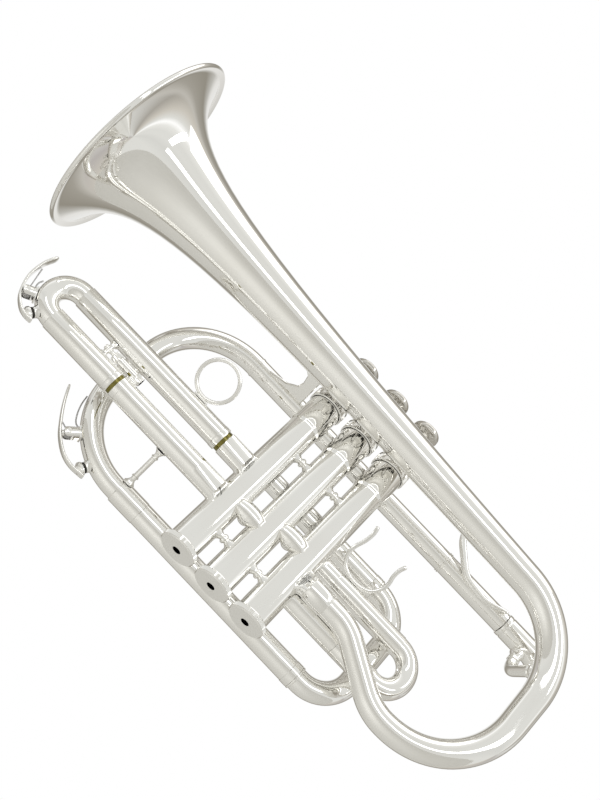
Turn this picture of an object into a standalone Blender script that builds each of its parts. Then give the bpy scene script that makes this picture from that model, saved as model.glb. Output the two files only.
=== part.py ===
"""A three-valve, shepherd's-crook cornet in silver plate, built as an assembly.

Working frame, in millimetres: the origin is on the second valve's axis, at the
face of its bottom cap. +X points to the player, +Y to the player's right and
+Z up the valves, to the finger buttons. The bell opens towards -X. The last
step moves the whole assembly so that the scene's origin is at the centre of
the base of its bounding box.

Air path: receiver, leadpipe, front bow, bottom pipe, main tuning slide, upper
sleeve, third valve, second valve, first valve, crook, bell.
"""
import math

import bmesh
import bpy
import numpy as np
from mathutils import Vector

MM = 0.001
OBJECT_NAME = "cornet"

# ---------------------------------------------------------------- tessellation
TUBE_SIDES = 12
VALVE_SIDES = 16
BELL_SIDES = 28
ARC_STEP_DEG = 22.5      # bends of more than SMALL_BEND
SMALL_ARC_STEP_DEG = 30.0
SMALL_BEND = 20.0

# ---------------------------------------------------------------- fits
SOLDER_GAP = 0.3          # between soldered or screwed neighbours
CUT_MIN_REACH = 5.6       # tubes that pass beside a casing end this far from its axis
SLIDE_CLEARANCE = 0.08    # radial, inner leg in its sleeve
TUBE_WALL = 0.6

# ---------------------------------------------------------------- valves
VALVE_PITCH = 24.5
VALVE_X = {1: VALVE_PITCH, 2: 0.0, 3: -VALVE_PITCH}
CASING_R = 9.1
CASING_CUT_R = CASING_R + 0.45   # where the tubes that meet a casing are cut
CASING_UPPER_R = 9.7
STUB_REACH = 9.7          # a stub is straight from this distance off its valve's axis
CASING_BORE = 8.3
CASING_BOTTOM_Z = 1.5
CASING_STEP_Z = 103.0
CASING_TOP_Z = 126.0
BOTTOM_CAP_R = 11.0
BOTTOM_CAP_H = 3.6
VENT_R = 2.5
TOP_CAP_R = 10.8
TOP_CAP_BOTTOM_Z = 122.0
TOP_CAP_TOP_Z = 133.5
STROKE = 16.5
PISTON_R = CASING_BORE - 0.08
PISTON_BOTTOM_Z = 20.0
PISTON_FLOOR_Z = 87.0     # top of the ported body, floor of the spring barrel
BARREL_TOP_Z = 122.5
BARREL_BORE = 6.7
STEM_R = 2.2
STEM_TOP_Z = 152.5
BUTTON_R = 8.6
BUTTON_TOP_Z = 162.0
PEARL_R = 6.6
GUIDE_T = 1.3
SPRING_R = 5.4
SPRING_WIRE_R = 0.5
SPRING_TURNS = 6

# ---------------------------------------------------------------- tubes
PORT_R = 5.8              # knuckles and stubs that carry air into a valve
KNUCKLE_Y = -4.6
LEG_R = 6.1               # inner slide legs
SLEEVE_R = LEG_R + SLIDE_CLEARANCE + TUBE_WALL
FERRULE_R = 7.0
PIPE_Y = 20.8             # tuning-slide tubes, right of the valves
LEADPIPE_Y = 17.5
LEADPIPE_Z = 120.5
LEADPIPE_R = 6.3
LEADPIPE_FRONT_X = -67.5
LEADPIPE_REAR_X = 129.5
BOTTOM_PIPE_Z = 8.7
BOTTOM_PIPE_X = (-68.0, 63.5)
TUNING_UPPER_Z = 78.2
TUNING_UPPER_REAR_X = 64.5
FRONT_BOW_X = -112.4
FRONT_BOW_BEND = 42.0
TUNING_BOW_X = 87.0
TUNING_BOW_BEND = 20.5
TUNING_LEG_IN = 55.0      # length of each inner leg held in its sleeve

# ---------------------------------------------------------------- bell
BELL_Y = -24.5
BELL_RIM_X = -197.5
BELL_RIM_Z = 136.6
BELL_TILT_DEG = 2.4
BELL_RIM_R = 59.8
BELL_FLARE_S = 10.0       # horn law: r = rim * (S / (s + S)) ** POWER
BELL_FLARE_POWER = 0.545
BELL_LENGTH = 307.0
BELL_WALL = 0.8
BEAD_R = 1.5
CROOK_REAR_X = 157.5
CROOK_BOTTOM_Z = 13.8
CROOK_BEND = 49.0
BRANCH_Y = -5.4
BRANCH_Z = 36.5
BRANCH_R = 6.6

# ---------------------------------------------------------------- third slide
THIRD_Y = -5.0
THIRD_UPPER_Z = 58.9
THIRD_LOWER_Z = 36.5
THIRD_BOW_X = -154.0
THIRD_UPPER_END_X = -49.8
THIRD_STUB_COLLAR_X = -47.6
THIRD_LOWER_END_X = -106.0
THIRD_GAP = 2.1           # slide is drawn this far at rest
RING_X = -73.0
RING_R = 11.3
RING_WIRE_R = 1.1
RING_LEAN_DEG = 35.0

# ---------------------------------------------------------------- first slide
FIRST_Y = 8.0
FIRST_UPPER_Z = 57.2
FIRST_LOWER_Z = 31.6
FIRST_BOW_X = 92.5
FIRST_UPPER_END_X = 44.6
FIRST_LOWER_END_X = 66.0
FIRST_LEG_R = 5.6
FIRST_SLEEVE_R = FIRST_LEG_R + SLIDE_CLEARANCE + TUBE_WALL

# ---------------------------------------------------------------- second slide
SECOND_UPPER_Z = 57.0
SECOND_LOWER_Z = 34.0
SECOND_SLEEVE_Y = 34.0
SECOND_BOW_Y = 40.0

# ---------------------------------------------------------------- finishes
SILVER = (0.86, 0.86, 0.84, 1.0)
BRASS = (0.72, 0.56, 0.30, 1.0)
STEEL = (0.62, 0.63, 0.65, 1.0)
PEARL = (0.93, 0.92, 0.90, 1.0)
CORK = (0.03, 0.03, 0.03, 1.0)


# ================================================================ helpers
def clear_scene():
    for obj in list(bpy.data.objects):
        bpy.data.objects.remove(obj, do_unlink=True)
    for coll in list(bpy.data.collections):
        bpy.data.collections.remove(coll)


def new_collection(name, hidden=False):
    coll = bpy.data.collections.new(name)
    bpy.context.scene.collection.children.link(coll)
    coll.hide_render = hidden
    return coll


def new_material(name, colour, metallic, roughness):
    mat = bpy.data.materials.new(name)
    mat.use_nodes = True
    shader = mat.node_tree.nodes["Principled BSDF"]
    shader.inputs["Base Color"].default_value = colour
    shader.inputs["Metallic"].default_value = metallic
    shader.inputs["Roughness"].default_value = roughness
    mat.diffuse_color = colour
    return mat


def make_object(name, verts, faces, finish=SILVER, origin=(0.0, 0.0, 0.0), coll=None):
    """One closed mesh from points in millimetres, with its origin at `origin`."""
    mesh = bpy.data.meshes.new(name)
    shift = np.asarray(origin, dtype=float)
    points = (np.asarray(verts, dtype=float) - shift) * MM
    mesh.from_pydata([tuple(p) for p in points], [], [tuple(f) for f in faces])
    work = bmesh.new()
    work.from_mesh(mesh)
    bmesh.ops.remove_doubles(work, verts=work.verts, dist=1e-7)
    bmesh.ops.recalc_face_normals(work, faces=work.faces)
    work.to_mesh(mesh)
    work.free()
    obj = bpy.data.objects.new(name, mesh)
    obj.location = Vector(shift * MM)
    metallic = 0.0 if finish in (PEARL, CORK) else 1.0
    roughness = 0.6 if finish == CORK else 0.15
    mesh.materials.append(new_material(name, finish, metallic, roughness))
    (coll or PARTS).objects.link(obj)
    mesh.shade_smooth()
    mesh.set_sharp_from_angle(angle=math.radians(32.0))
    return obj


def unit(v):
    v = np.asarray(v, dtype=float)
    return v / np.linalg.norm(v)


def rounded_path(corners, bends):
    """Polyline through `corners`, with an arc of radius bends[i] at inner corner i."""
    pts = [np.asarray(p, dtype=float) for p in corners]
    path = [pts[0]]
    for i, bend in enumerate(bends, start=1):
        before, here, after = pts[i - 1], pts[i], pts[i + 1]
        d_in = unit(here - before)
        d_out = unit(after - here)
        turn = math.acos(np.clip(np.dot(d_in, d_out), -1.0, 1.0))
        setback = bend * math.tan(turn / 2.0)
        side = unit(d_out - d_in * np.dot(d_in, d_out))
        centre = here - d_in * setback + side * bend
        step = ARC_STEP_DEG if bend > SMALL_BEND else SMALL_ARC_STEP_DEG
        steps = max(2, int(round(math.degrees(turn) / step)))
        for k in range(steps + 1):
            ang = turn * k / steps
            path.append(centre + bend * (math.sin(ang) * d_in - math.cos(ang) * side))
    path.append(pts[-1])
    kept = [path[0]]
    for p in path[1:]:
        if np.linalg.norm(p - kept[-1]) > 1e-4:
            kept.append(p)
    return kept


def along(profile, s):
    """Value at length s of a profile given as one number or as (s, value) pairs."""
    if np.isscalar(profile):
        return float(profile)
    return float(np.interp(s, [p[0] for p in profile], [p[1] for p in profile]))


def stations(path, profiles):
    """Path points, with one added at each break of the profiles, as (s, point, tangent)."""
    path = [np.asarray(p, dtype=float) for p in path]
    lengths = [0.0]
    for a, b in zip(path, path[1:]):
        lengths.append(lengths[-1] + np.linalg.norm(b - a))
    marks = set(round(s, 4) for s in lengths)
    for profile in profiles:
        if profile is not None and not np.isscalar(profile):
            marks.update(round(p[0], 4) for p in profile if 0.0 < p[0] < lengths[-1])
    marks = sorted(marks)
    directions = [unit(b - a) for a, b in zip(path, path[1:])]
    out = []
    for s in marks:
        i = min(int(np.searchsorted(lengths, s + 1e-3) - 1), len(path) - 2)
        i = max(i, 0)
        t = (s - lengths[i]) / (lengths[i + 1] - lengths[i])
        point = path[i] + (path[i + 1] - path[i]) * t
        tangent = directions[i]
        if i > 0 and abs(s - lengths[i]) < 1e-3:
            tangent = unit(directions[i - 1] + directions[i])
        out.append((s, point, tangent))
    return out


def frames(path, profiles, up):
    """Stations with two cross directions carried along without twist."""
    result = []
    side = None
    for s, point, tangent in stations(path, profiles):
        if side is None:
            ref = np.asarray(up, dtype=float)
            side = unit(ref - tangent * np.dot(ref, tangent))
        else:
            side = unit(side - tangent * np.dot(side, tangent))
        result.append((s, point, tangent, side, np.cross(tangent, side)))
    return result


def circle(sides):
    """Unit circle with a vertex on each cross direction."""
    return [(math.cos(2 * math.pi * k / sides), math.sin(2 * math.pi * k / sides))
            for k in range(sides)]


def skin(rings, closed_ends=True):
    """Faces between rings of equal count, with a cap at each end if closed."""
    n = len(rings[0])
    verts = [p for ring in rings for p in ring]
    faces = []
    for i in range(len(rings) - 1):
        for k in range(n):
            k2 = (k + 1) % n
            faces.append((i * n + k, i * n + k2, (i + 1) * n + k2, (i + 1) * n + k))
    if closed_ends:
        faces.append(tuple(range(n)))
        last = (len(rings) - 1) * n
        faces.append(tuple(last + k for k in range(n)))
    return verts, faces


def cut_to_casing(ring, cut):
    """Move a ring of an X-running tube onto a cylinder about a valve axis."""
    if cut is None:
        return ring
    valve_x, radius = cut
    moved = []
    for p in ring:
        reach = math.sqrt(max(radius ** 2 - p[1] ** 2, CUT_MIN_REACH ** 2))
        sign = 1.0 if p[0] > valve_x else -1.0
        moved.append(np.array([valve_x + sign * reach, p[1], p[2]]))
    return moved


def tube_mesh(path, outer, inner=None, sides=TUBE_SIDES, up=(0.0, 0.0, 1.0), cuts=(None, None)):
    """Round tube, hollow when `inner` is given; radii may vary with length."""
    unit_ring = circle(sides)
    outer_rings = []
    inner_rings = []
    fr = frames(path, (outer, inner), up)
    for s, point, _, side, cross in fr:
        r = along(outer, s)
        outer_rings.append([point + r * (u * side + v * cross) for u, v in unit_ring])
        if inner is not None:
            r = along(inner, s)
            inner_rings.append([point + r * (u * side + v * cross) for u, v in unit_ring])
    outer_rings[0] = cut_to_casing(outer_rings[0], cuts[0])
    outer_rings[-1] = cut_to_casing(outer_rings[-1], cuts[1])
    if inner is None:
        return skin(outer_rings)
    inner_rings[0] = cut_to_casing(inner_rings[0], cuts[0])
    inner_rings[-1] = cut_to_casing(inner_rings[-1], cuts[1])
    loop = outer_rings + inner_rings[::-1] + [outer_rings[0]]
    return skin(loop, closed_ends=False)


def tube(name, path, outer, inner=None, finish=SILVER, origin=(0, 0, 0), **options):
    verts, faces = tube_mesh(path, outer, inner, **options)
    return make_object(name, verts, faces, finish, origin)


def strip(name, path, widths, thickness, up, finish=SILVER, origin=(0, 0, 0)):
    """Bar of rounded-off rectangular section; `widths` is measured along `up`."""
    rings = []
    for s, point, _, side, cross in frames(path, (widths, thickness), up):
        w = along(widths, s) / 2.0
        t = along(thickness, s) / 2.0
        c = min(w, t) * 0.45
        outline = [(w, t - c), (w - c, t), (c - w, t), (-w, t - c),
                   (-w, c - t), (c - w, -t), (w - c, -t), (w, c - t)]
        rings.append([point + a * side + b * cross for a, b in outline])
    verts, faces = skin(rings)
    return make_object(name, verts, faces, finish, origin)


def lathe_mesh(profile, base, axis, sides, closed=True):
    """Revolve (radius, height) points about `axis`; radius 0 gives a pole."""
    axis = unit(axis)
    ref = np.array([0.0, 0.0, 1.0]) if abs(axis[2]) < 0.9 else np.array([1.0, 0.0, 0.0])
    u = unit(ref - axis * np.dot(ref, axis))
    v = np.cross(axis, u)
    base = np.asarray(base, dtype=float)
    verts = []
    rows = []
    for r, h in profile:
        centre = base + axis * h
        if r < 1e-6:
            rows.append([len(verts)] * sides)
            verts.append(centre)
            continue
        rows.append([len(verts) + k for k in range(sides)])
        for cu, cv in circle(sides):
            verts.append(centre + r * (cu * u + cv * v))
    faces = []
    pairs = list(zip(rows, rows[1:]))
    if closed:
        pairs.append((rows[-1], rows[0]))
    for a, b in pairs:
        for k in range(sides):
            k2 = (k + 1) % sides
            face = []
            for index in (a[k], a[k2], b[k2], b[k]):
                if index not in face:
                    face.append(index)
            if len(face) >= 3:
                faces.append(tuple(face))
    return verts, faces


def lathe(name, profile, base, axis=(0, 0, 1), sides=VALVE_SIDES, closed=True,
          finish=SILVER, origin=(0, 0, 0)):
    verts, faces = lathe_mesh(profile, base, axis, sides, closed)
    return make_object(name, verts, faces, finish, origin)


def plate(name, outline, normal_start, normal_end, finish=SILVER, origin=(0, 0, 0)):
    """Prism: a 3-D outline pushed from normal_start to normal_end (two offset vectors)."""
    low = [np.asarray(p, float) + np.asarray(normal_start, float) for p in outline]
    high = [np.asarray(p, float) + np.asarray(normal_end, float) for p in outline]
    verts, faces = skin([low, high])
    return make_object(name, verts, faces, finish, origin)


def cut_away(target, cutters):
    """Boolean difference, applied at once so that the node stays one closed mesh."""
    for i, (verts, faces) in enumerate(cutters):
        cutter = make_object(f"{target.name}_cutter_{i}", verts, faces, coll=CUTTERS)
        cutter.display_type = "WIRE"
        cutter.hide_render = True
        mod = target.modifiers.new(f"cut_{i}", "BOOLEAN")
        mod.operation = "DIFFERENCE"
        mod.solver = "EXACT"
        mod.object = cutter


# ================================================================ valves
def port(valve, direction, z, radius=PORT_R - TUBE_WALL, y=0.0, reach=14.0):
    """Cutter for an air port: a drill through one side of a casing."""
    axis_point = np.array([VALVE_X[valve], y, z])
    start = axis_point + unit(direction) * CUT_MIN_REACH
    end = axis_point + unit(direction) * reach
    return tube_mesh([start, end], radius, sides=12)


def casing_ports(valve):
    ports = {
        1: [((1, 0, 0), BRANCH_Z, BRANCH_Y, 4.4), ((1, 0, 0), FIRST_UPPER_Z, 4.0, 4.2),
            ((0, 1, 0), FIRST_LOWER_Z - 1.0, 0.0, 4.2), ((-1, 0, 0), 48.2, 0.0, 5.0)],
        2: [((1, 0, 0), 48.2, 0.0, 5.0), ((-1, 0, 0), 40.1, 0.0, 5.0),
            ((0, 1, 0), SECOND_UPPER_Z, 0.0, 5.0), ((0, 1, 0), SECOND_LOWER_Z, 0.0, 5.0)],
        3: [((-1, 0, 0), THIRD_UPPER_Z, -3.0, 4.6), ((-1, 0, 0), THIRD_LOWER_Z, -3.0, 4.6),
            ((1, 0, 0), 40.1, 0.0, 5.0), ((0, 1, 0), TUNING_UPPER_Z, 0.0, 5.0)],
    }
    return [port(valve, d, z, r, y) for d, z, y, r in ports[valve]]


def build_casing(valve):
    x = VALVE_X[valve]
    profile = [(CASING_BORE, CASING_BOTTOM_Z), (CASING_R, CASING_BOTTOM_Z),
               (CASING_R, CASING_STEP_Z), (CASING_UPPER_R, CASING_STEP_Z + 1.2),
               (CASING_UPPER_R, CASING_TOP_Z), (CASING_BORE, CASING_TOP_Z)]
    casing = lathe(f"casing_{valve}", profile, (x, 0, 0), origin=(x, 0, 0))
    cut_away(casing, casing_ports(valve))


def build_bottom_cap(valve):
    x = VALVE_X[valve]
    pocket = CASING_R + SOLDER_GAP
    profile = [(VENT_R, 0.0), (BOTTOM_CAP_R - 0.9, 0.0), (BOTTOM_CAP_R, 0.9),
               (BOTTOM_CAP_R, BOTTOM_CAP_H - 0.5), (BOTTOM_CAP_R - 0.6, BOTTOM_CAP_H),
               (pocket, BOTTOM_CAP_H), (pocket, CASING_BOTTOM_Z - SOLDER_GAP),
               (VENT_R, CASING_BOTTOM_Z - SOLDER_GAP)]
    lathe(f"bottom_cap_{valve}", profile, (x, 0, 0), origin=(x, 0, 0))


def build_top_cap(valve):
    x = VALVE_X[valve]
    pocket = CASING_UPPER_R + SOLDER_GAP
    bore = STEM_R + 0.6
    profile = [(pocket, TOP_CAP_BOTTOM_Z), (TOP_CAP_R, TOP_CAP_BOTTOM_Z + 0.4),
               (TOP_CAP_R, TOP_CAP_TOP_Z - 4.2), (TOP_CAP_R - 1.6, TOP_CAP_TOP_Z - 2.6),
               (5.2, TOP_CAP_TOP_Z - 1.2), (4.6, TOP_CAP_TOP_Z), (bore, TOP_CAP_TOP_Z),
               (bore, CASING_TOP_Z + SOLDER_GAP), (pocket, CASING_TOP_Z + SOLDER_GAP)]
    lathe(f"top_cap_{valve}", profile, (x, 0, 0), origin=(x, 0, 0))


def build_piston(valve):
    """Ported body, slotted spring barrel and stem, turned as one piece."""
    x = VALVE_X[valve]
    profile = [(0.0, PISTON_BOTTOM_Z), (PISTON_R - 1.0, PISTON_BOTTOM_Z),
               (PISTON_R, PISTON_BOTTOM_Z + 1.0), (PISTON_R, BARREL_TOP_Z),
               (STEM_R + 1.6, BARREL_TOP_Z), (STEM_R, BARREL_TOP_Z + 1.6),
               (STEM_R, STEM_TOP_Z), (0.0, STEM_TOP_Z)]
    piston = lathe(f"piston_{valve}", profile, (x, 0, 0), closed=False, finish=STEEL,
                   origin=(x, 0, 0))
    barrel = lathe_mesh([(0.0, PISTON_FLOOR_Z), (BARREL_BORE, PISTON_FLOOR_Z),
                         (BARREL_BORE, BARREL_TOP_Z - 1.6), (0.0, BARREL_TOP_Z - 1.6)],
                        (x, 0, 0), (0, 0, 1), VALVE_SIDES, closed=False)
    slot_top = PISTON_FLOOR_Z + GUIDE_T + STROKE + 1.0
    slot = skin([[(x - 1.9, -12, z), (x + 1.9, -12, z), (x + 1.9, 12, z), (x - 1.9, 12, z)]
                 for z in (PISTON_FLOOR_Z + 0.6, slot_top)])
    through = tube_mesh([(x - 12, 0, 44.2), (x + 12, 0, 44.2)], 5.0, sides=12)
    lower = tube_mesh([(x, -12, 29.5), (x, 12, 32.5)], 4.2, sides=12)
    upper = tube_mesh([(x - 12, 0, 62.0), (x + 12, 0, 58.0)], 5.0, sides=12)
    cut_away(piston, [barrel, slot, through, lower, upper])


def build_guide(valve):
    """Two-armed guide held in the casing; the spring stands on it."""
    x = VALVE_X[valve]
    z = PISTON_FLOOR_Z + 0.9
    arm = 1.5
    reach = CASING_BORE - 0.35
    hub = BARREL_BORE - 0.5
    a0 = math.asin(arm / hub)
    outline = []
    for base in (math.pi / 2, 3 * math.pi / 2):
        tip = np.array([math.cos(base), math.sin(base)])
        wide = np.array([-tip[1], tip[0]])
        flat = math.sqrt(reach ** 2 - arm ** 2)
        outline.append(tip * flat - wide * arm)
        outline.append(tip * flat + wide * arm)
        for k in range(7):
            ang = base + a0 + (math.pi - 2 * a0) * k / 6
            outline.append(hub * np.array([math.cos(ang), math.sin(ang)]))
    points = [(x + p[0], p[1], z) for p in outline]
    plate(f"valve_guide_{valve}", points, (0, 0, 0), (0, 0, GUIDE_T - 0.3), BRASS, (x, 0, 0))


def build_spring(valve):
    x = VALVE_X[valve]
    low = PISTON_FLOOR_Z + 0.9 + GUIDE_T + SPRING_WIRE_R
    high = BARREL_TOP_Z - 1.6 - SOLDER_GAP - SPRING_WIRE_R
    steps = SPRING_TURNS * 8
    path = []
    for k in range(steps + 1):
        ang = 2 * math.pi * SPRING_TURNS * k / steps
        z = low + (high - low) * k / steps
        path.append((x + SPRING_R * math.cos(ang), SPRING_R * math.sin(ang), z))
    tube(f"spring_{valve}", path, SPRING_WIRE_R, sides=4, finish=STEEL, origin=(x, 0, 0))


def build_button(valve):
    x = VALVE_X[valve]
    top = BUTTON_TOP_Z
    lip = PEARL_R + SOLDER_GAP
    profile = [(STEM_R + SOLDER_GAP, STEM_TOP_Z - 2.2), (3.4, STEM_TOP_Z - 2.2),
               (3.8, STEM_TOP_Z + 1.2), (BUTTON_R - 1.4, top - 4.6), (BUTTON_R, top - 3.0),
               (BUTTON_R, top - 1.2), (BUTTON_R - 0.9, top), (lip, top), (lip, top - 1.6),
               (0.0, top - 1.6), (0.0, STEM_TOP_Z + SOLDER_GAP),
               (STEM_R + SOLDER_GAP, STEM_TOP_Z + SOLDER_GAP)]
    verts, faces = lathe_mesh(profile, (x, 0, 0), (0, 0, 1), VALVE_SIDES)
    make_object(f"button_{valve}", verts, faces, SILVER, (x, 0, 0))
    lathe(f"pearl_{valve}", [(0.0, top - 1.3), (PEARL_R, top - 1.3), (PEARL_R, top - 0.4),
                             (PEARL_R - 1.8, top - 0.1), (0.0, top)],
          (x, 0, 0), closed=False, finish=PEARL, origin=(x, 0, 0))


def build_knuckles():
    """Air tubes and the lower braces between neighbouring casings."""
    clear = CASING_CUT_R
    for a, b, z, r in ((1, 2, 48.2, PORT_R), (2, 3, 40.1, PORT_R)):
        x0, x1 = VALVE_X[b], VALVE_X[a]
        mid = (x0 + x1) / 2.0
        path = [(x0 + STUB_REACH, KNUCKLE_Y, z), (mid - 1.0, KNUCKLE_Y, z), (mid + 1.0, KNUCKLE_Y, z), (x1 - STUB_REACH, KNUCKLE_Y, z)]
        tube(f"knuckle_{a}{b}", path, r, r - TUBE_WALL, cuts=((x0, clear), (x1, clear)))
    for a, b in ((1, 2), (2, 3)):
        x0, x1 = VALVE_X[b], VALVE_X[a]
        mid = (x0 + x1) / 2.0
        path = [(x0 + STUB_REACH, -2.5, 22.0), (mid - 1.2, -2.5, 22.0), (mid + 1.2, -2.5, 22.0), (x1 - STUB_REACH, -2.5, 22.0)]
        bar = [(0, 3.2), (1.6, 2.2), (3.5, 2.2), (5.1, 3.2)]
        hold = clear + 0.6
        tube(f"casing_brace_{a}{b}", path, bar, sides=12, cuts=((x0, hold), (x1, hold)))


def build_valves():
    for valve in (1, 2, 3):
        build_casing(valve)
        build_bottom_cap(valve)
        build_top_cap(valve)
        build_piston(valve)
        build_guide(valve)
        build_spring(valve)
        build_button(valve)
    build_knuckles()


# ================================================================ bell and crook
def bell_axis():
    tilt = math.radians(BELL_TILT_DEG)
    return np.array([math.cos(tilt), 0.0, -math.sin(tilt)])


def bell_radius(s):
    return BELL_RIM_R * (BELL_FLARE_S / (s + BELL_FLARE_S)) ** BELL_FLARE_POWER


def build_bell():
    """Flared horn with a rolled rim bead that has a narrow flat front."""
    marks = [0.0, 1.6, 4.0, 8.0, 14.0, 24.0, 40.0, 64.0, 100.0, 155.0, 225.0, BELL_LENGTH]
    outer = [(bell_radius(s), s) for s in marks]
    inner = []
    for i, (r, s) in enumerate(outer):
        slope = -BELL_FLARE_POWER * r / (s + BELL_FLARE_S)
        scale = BELL_WALL / math.hypot(1.0, slope)
        inner.append((r - scale, s + slope * scale if i not in (0, len(outer) - 1) else s))
    bead_r = BELL_RIM_R + 0.5
    bead = [(bead_r + BEAD_R * math.cos(a), BEAD_R * math.sin(a))
            for a in (math.radians(d) for d in (70.0, 35.0, 0.0, -30.0, -55.0))]
    flat = [(bead_r + 0.6, -BEAD_R), (bead_r - 0.9, -BEAD_R), (BELL_RIM_R - 1.1, -0.6)]
    profile = outer[::-1][:-1] + bead + flat + inner
    lathe("bell", profile, (BELL_RIM_X, BELL_Y, BELL_RIM_Z), bell_axis(), BELL_SIDES)


def crook_path():
    """Centre line from the first valve's ferrule, round the back, to the bell's tail."""
    end = np.array([BELL_RIM_X, BELL_Y, BELL_RIM_Z]) + bell_axis() * (BELL_LENGTH + SOLDER_GAP)
    top_z = end[2] - math.tan(math.radians(BELL_TILT_DEG)) * (CROOK_REAR_X - end[0])
    corners = [(VALVE_X[1] + STUB_REACH, BRANCH_Y, BRANCH_Z), (63.0, BRANCH_Y, BRANCH_Z),
               (99.0, BRANCH_Y, CROOK_BOTTOM_Z), (CROOK_REAR_X, -8.5, CROOK_BOTTOM_Z),
               (CROOK_REAR_X, BELL_Y, top_z), tuple(end)]
    return rounded_path(corners, (30.0, 30.0, CROOK_BEND, CROOK_BEND - 4.0))


def build_crook():
    path = crook_path()
    total = sum(np.linalg.norm(b - a) for a, b in zip(path, path[1:]))
    tail = bell_radius(BELL_LENGTH)
    outer = [(0.0, 6.2), (2.4, FERRULE_R), (14.0, FERRULE_R), (14.6, BRANCH_R), (56.0, BRANCH_R),
             (total * 0.5, 7.5), (total, tail)]
    inner = [(0.0, 5.2), (14.6, 5.7), (56.0, BRANCH_R - 0.8), (total * 0.5, 6.7), (total, tail - 0.8)]
    tube("crook", path, outer, inner, up=(0, 1, 0), cuts=((VALVE_X[1], CASING_CUT_R), None))


# ================================================================ leadpipe and front bow
def build_leadpipe():
    y, z = LEADPIPE_Y, LEADPIPE_Z
    length = LEADPIPE_REAR_X - LEADPIPE_FRONT_X
    ring = 83.0 - LEADPIPE_FRONT_X
    outer = [(0, LEADPIPE_R), (ring - 1.0, LEADPIPE_R), (ring - 0.7, LEADPIPE_R + 0.5),
             (ring + 0.7, LEADPIPE_R + 0.5), (ring + 1.0, LEADPIPE_R), (length, LEADPIPE_R)]
    path = [(LEADPIPE_FRONT_X, y, z), (LEADPIPE_REAR_X, y, z)]
    tube("leadpipe", path, outer, LEADPIPE_R - 0.7)
    start = LEADPIPE_REAR_X + 1.2
    profile = [(5.4, 0), (6.6, 0), (7.0, 1.0), (7.0, 22), (7.6, 24), (7.6, 34.5), (8.3, 35.2),
               (8.3, 37.4), (7.7, 38.2), (5.6, 38.2), (4.9, 16)]
    lathe("mouthpiece_receiver", profile, (start, y, z), (1, 0, 0), TUBE_SIDES)


def build_front_bow():
    corners = [(LEADPIPE_FRONT_X - SOLDER_GAP, LEADPIPE_Y, LEADPIPE_Z),
               (FRONT_BOW_X, LEADPIPE_Y, LEADPIPE_Z), (FRONT_BOW_X, PIPE_Y, BOTTOM_PIPE_Z),
               (BOTTOM_PIPE_X[0] - SOLDER_GAP, PIPE_Y, BOTTOM_PIPE_Z)]
    path = rounded_path(corners, (FRONT_BOW_BEND, FRONT_BOW_BEND))
    bow = tube("front_bow", path, LEADPIPE_R, LEADPIPE_R - 0.7, up=(0, 1, 0))
    add_solid(bow, "nipple", key_nipple(KEY_BOW))


def build_tuning_sleeves():
    bore = LEG_R + SLIDE_CLEARANCE
    x0, x1 = BOTTOM_PIPE_X
    length = x1 - x0
    outer = [(0, FERRULE_R), (17.5, FERRULE_R), (18.0, SLEEVE_R), (length - 5.0, SLEEVE_R),
             (length - 4.6, FERRULE_R), (length, FERRULE_R)]
    inner = [(0, bore), (length, bore)]
    tube("bottom_pipe", [(x0, PIPE_Y, BOTTOM_PIPE_Z), (x1, PIPE_Y, BOTTOM_PIPE_Z)], outer, inner)
    x = VALVE_X[3]
    z = TUNING_UPPER_Z
    path = rounded_path([(TUNING_UPPER_REAR_X, PIPE_Y, z), (x, PIPE_Y, z),
                         (x, CASING_R + SOLDER_GAP, z)], (8.4,))
    sleeve = TUNING_LEG_IN + 3.0
    outer = [(0, FERRULE_R), (4.6, FERRULE_R), (5.0, SLEEVE_R), (sleeve, SLEEVE_R),
             (sleeve + 0.8, LEG_R), (120.0, LEG_R)]
    inner = [(0, bore), (sleeve - 1.0, bore), (sleeve, LEG_R - TUBE_WALL), (120.0, LEG_R - TUBE_WALL)]
    tube("tuning_upper_sleeve", path, outer, inner, up=(0, 0, 1))


def build_main_slide():
    """Bow and both inner legs of the tuning slide, drawn along +X."""
    low = BOTTOM_PIPE_X[1] - TUNING_LEG_IN
    high = TUNING_UPPER_REAR_X - TUNING_LEG_IN
    corners = [(low, PIPE_Y, BOTTOM_PIPE_Z), (TUNING_BOW_X, PIPE_Y, BOTTOM_PIPE_Z),
               (TUNING_BOW_X, PIPE_Y, TUNING_UPPER_Z), (high, PIPE_Y, TUNING_UPPER_Z)]
    path = rounded_path(corners, (TUNING_BOW_BEND - 0.01, TUNING_BOW_BEND))
    total = sum(np.linalg.norm(b - a) for a, b in zip(path, path[1:]))
    inside = TUNING_LEG_IN + SOLDER_GAP
    ferrule = [(0, LEG_R), (inside, LEG_R), (inside + 0.02, FERRULE_R), (inside + 0.9, FERRULE_R),
               (inside + 1.3, LEG_R + 0.25)]
    outer = ferrule + [(total - s, r) for s, r in ferrule[::-1]]
    tube("main_slide", path, outer, LEG_R - TUBE_WALL, up=(0, 1, 0),
         origin=(low, PIPE_Y, BOTTOM_PIPE_Z))


# ================================================================ third slide
def third_leg_x(z):
    return {THIRD_UPPER_Z: THIRD_UPPER_END_X, THIRD_LOWER_Z: THIRD_LOWER_END_X}[z]


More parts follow.
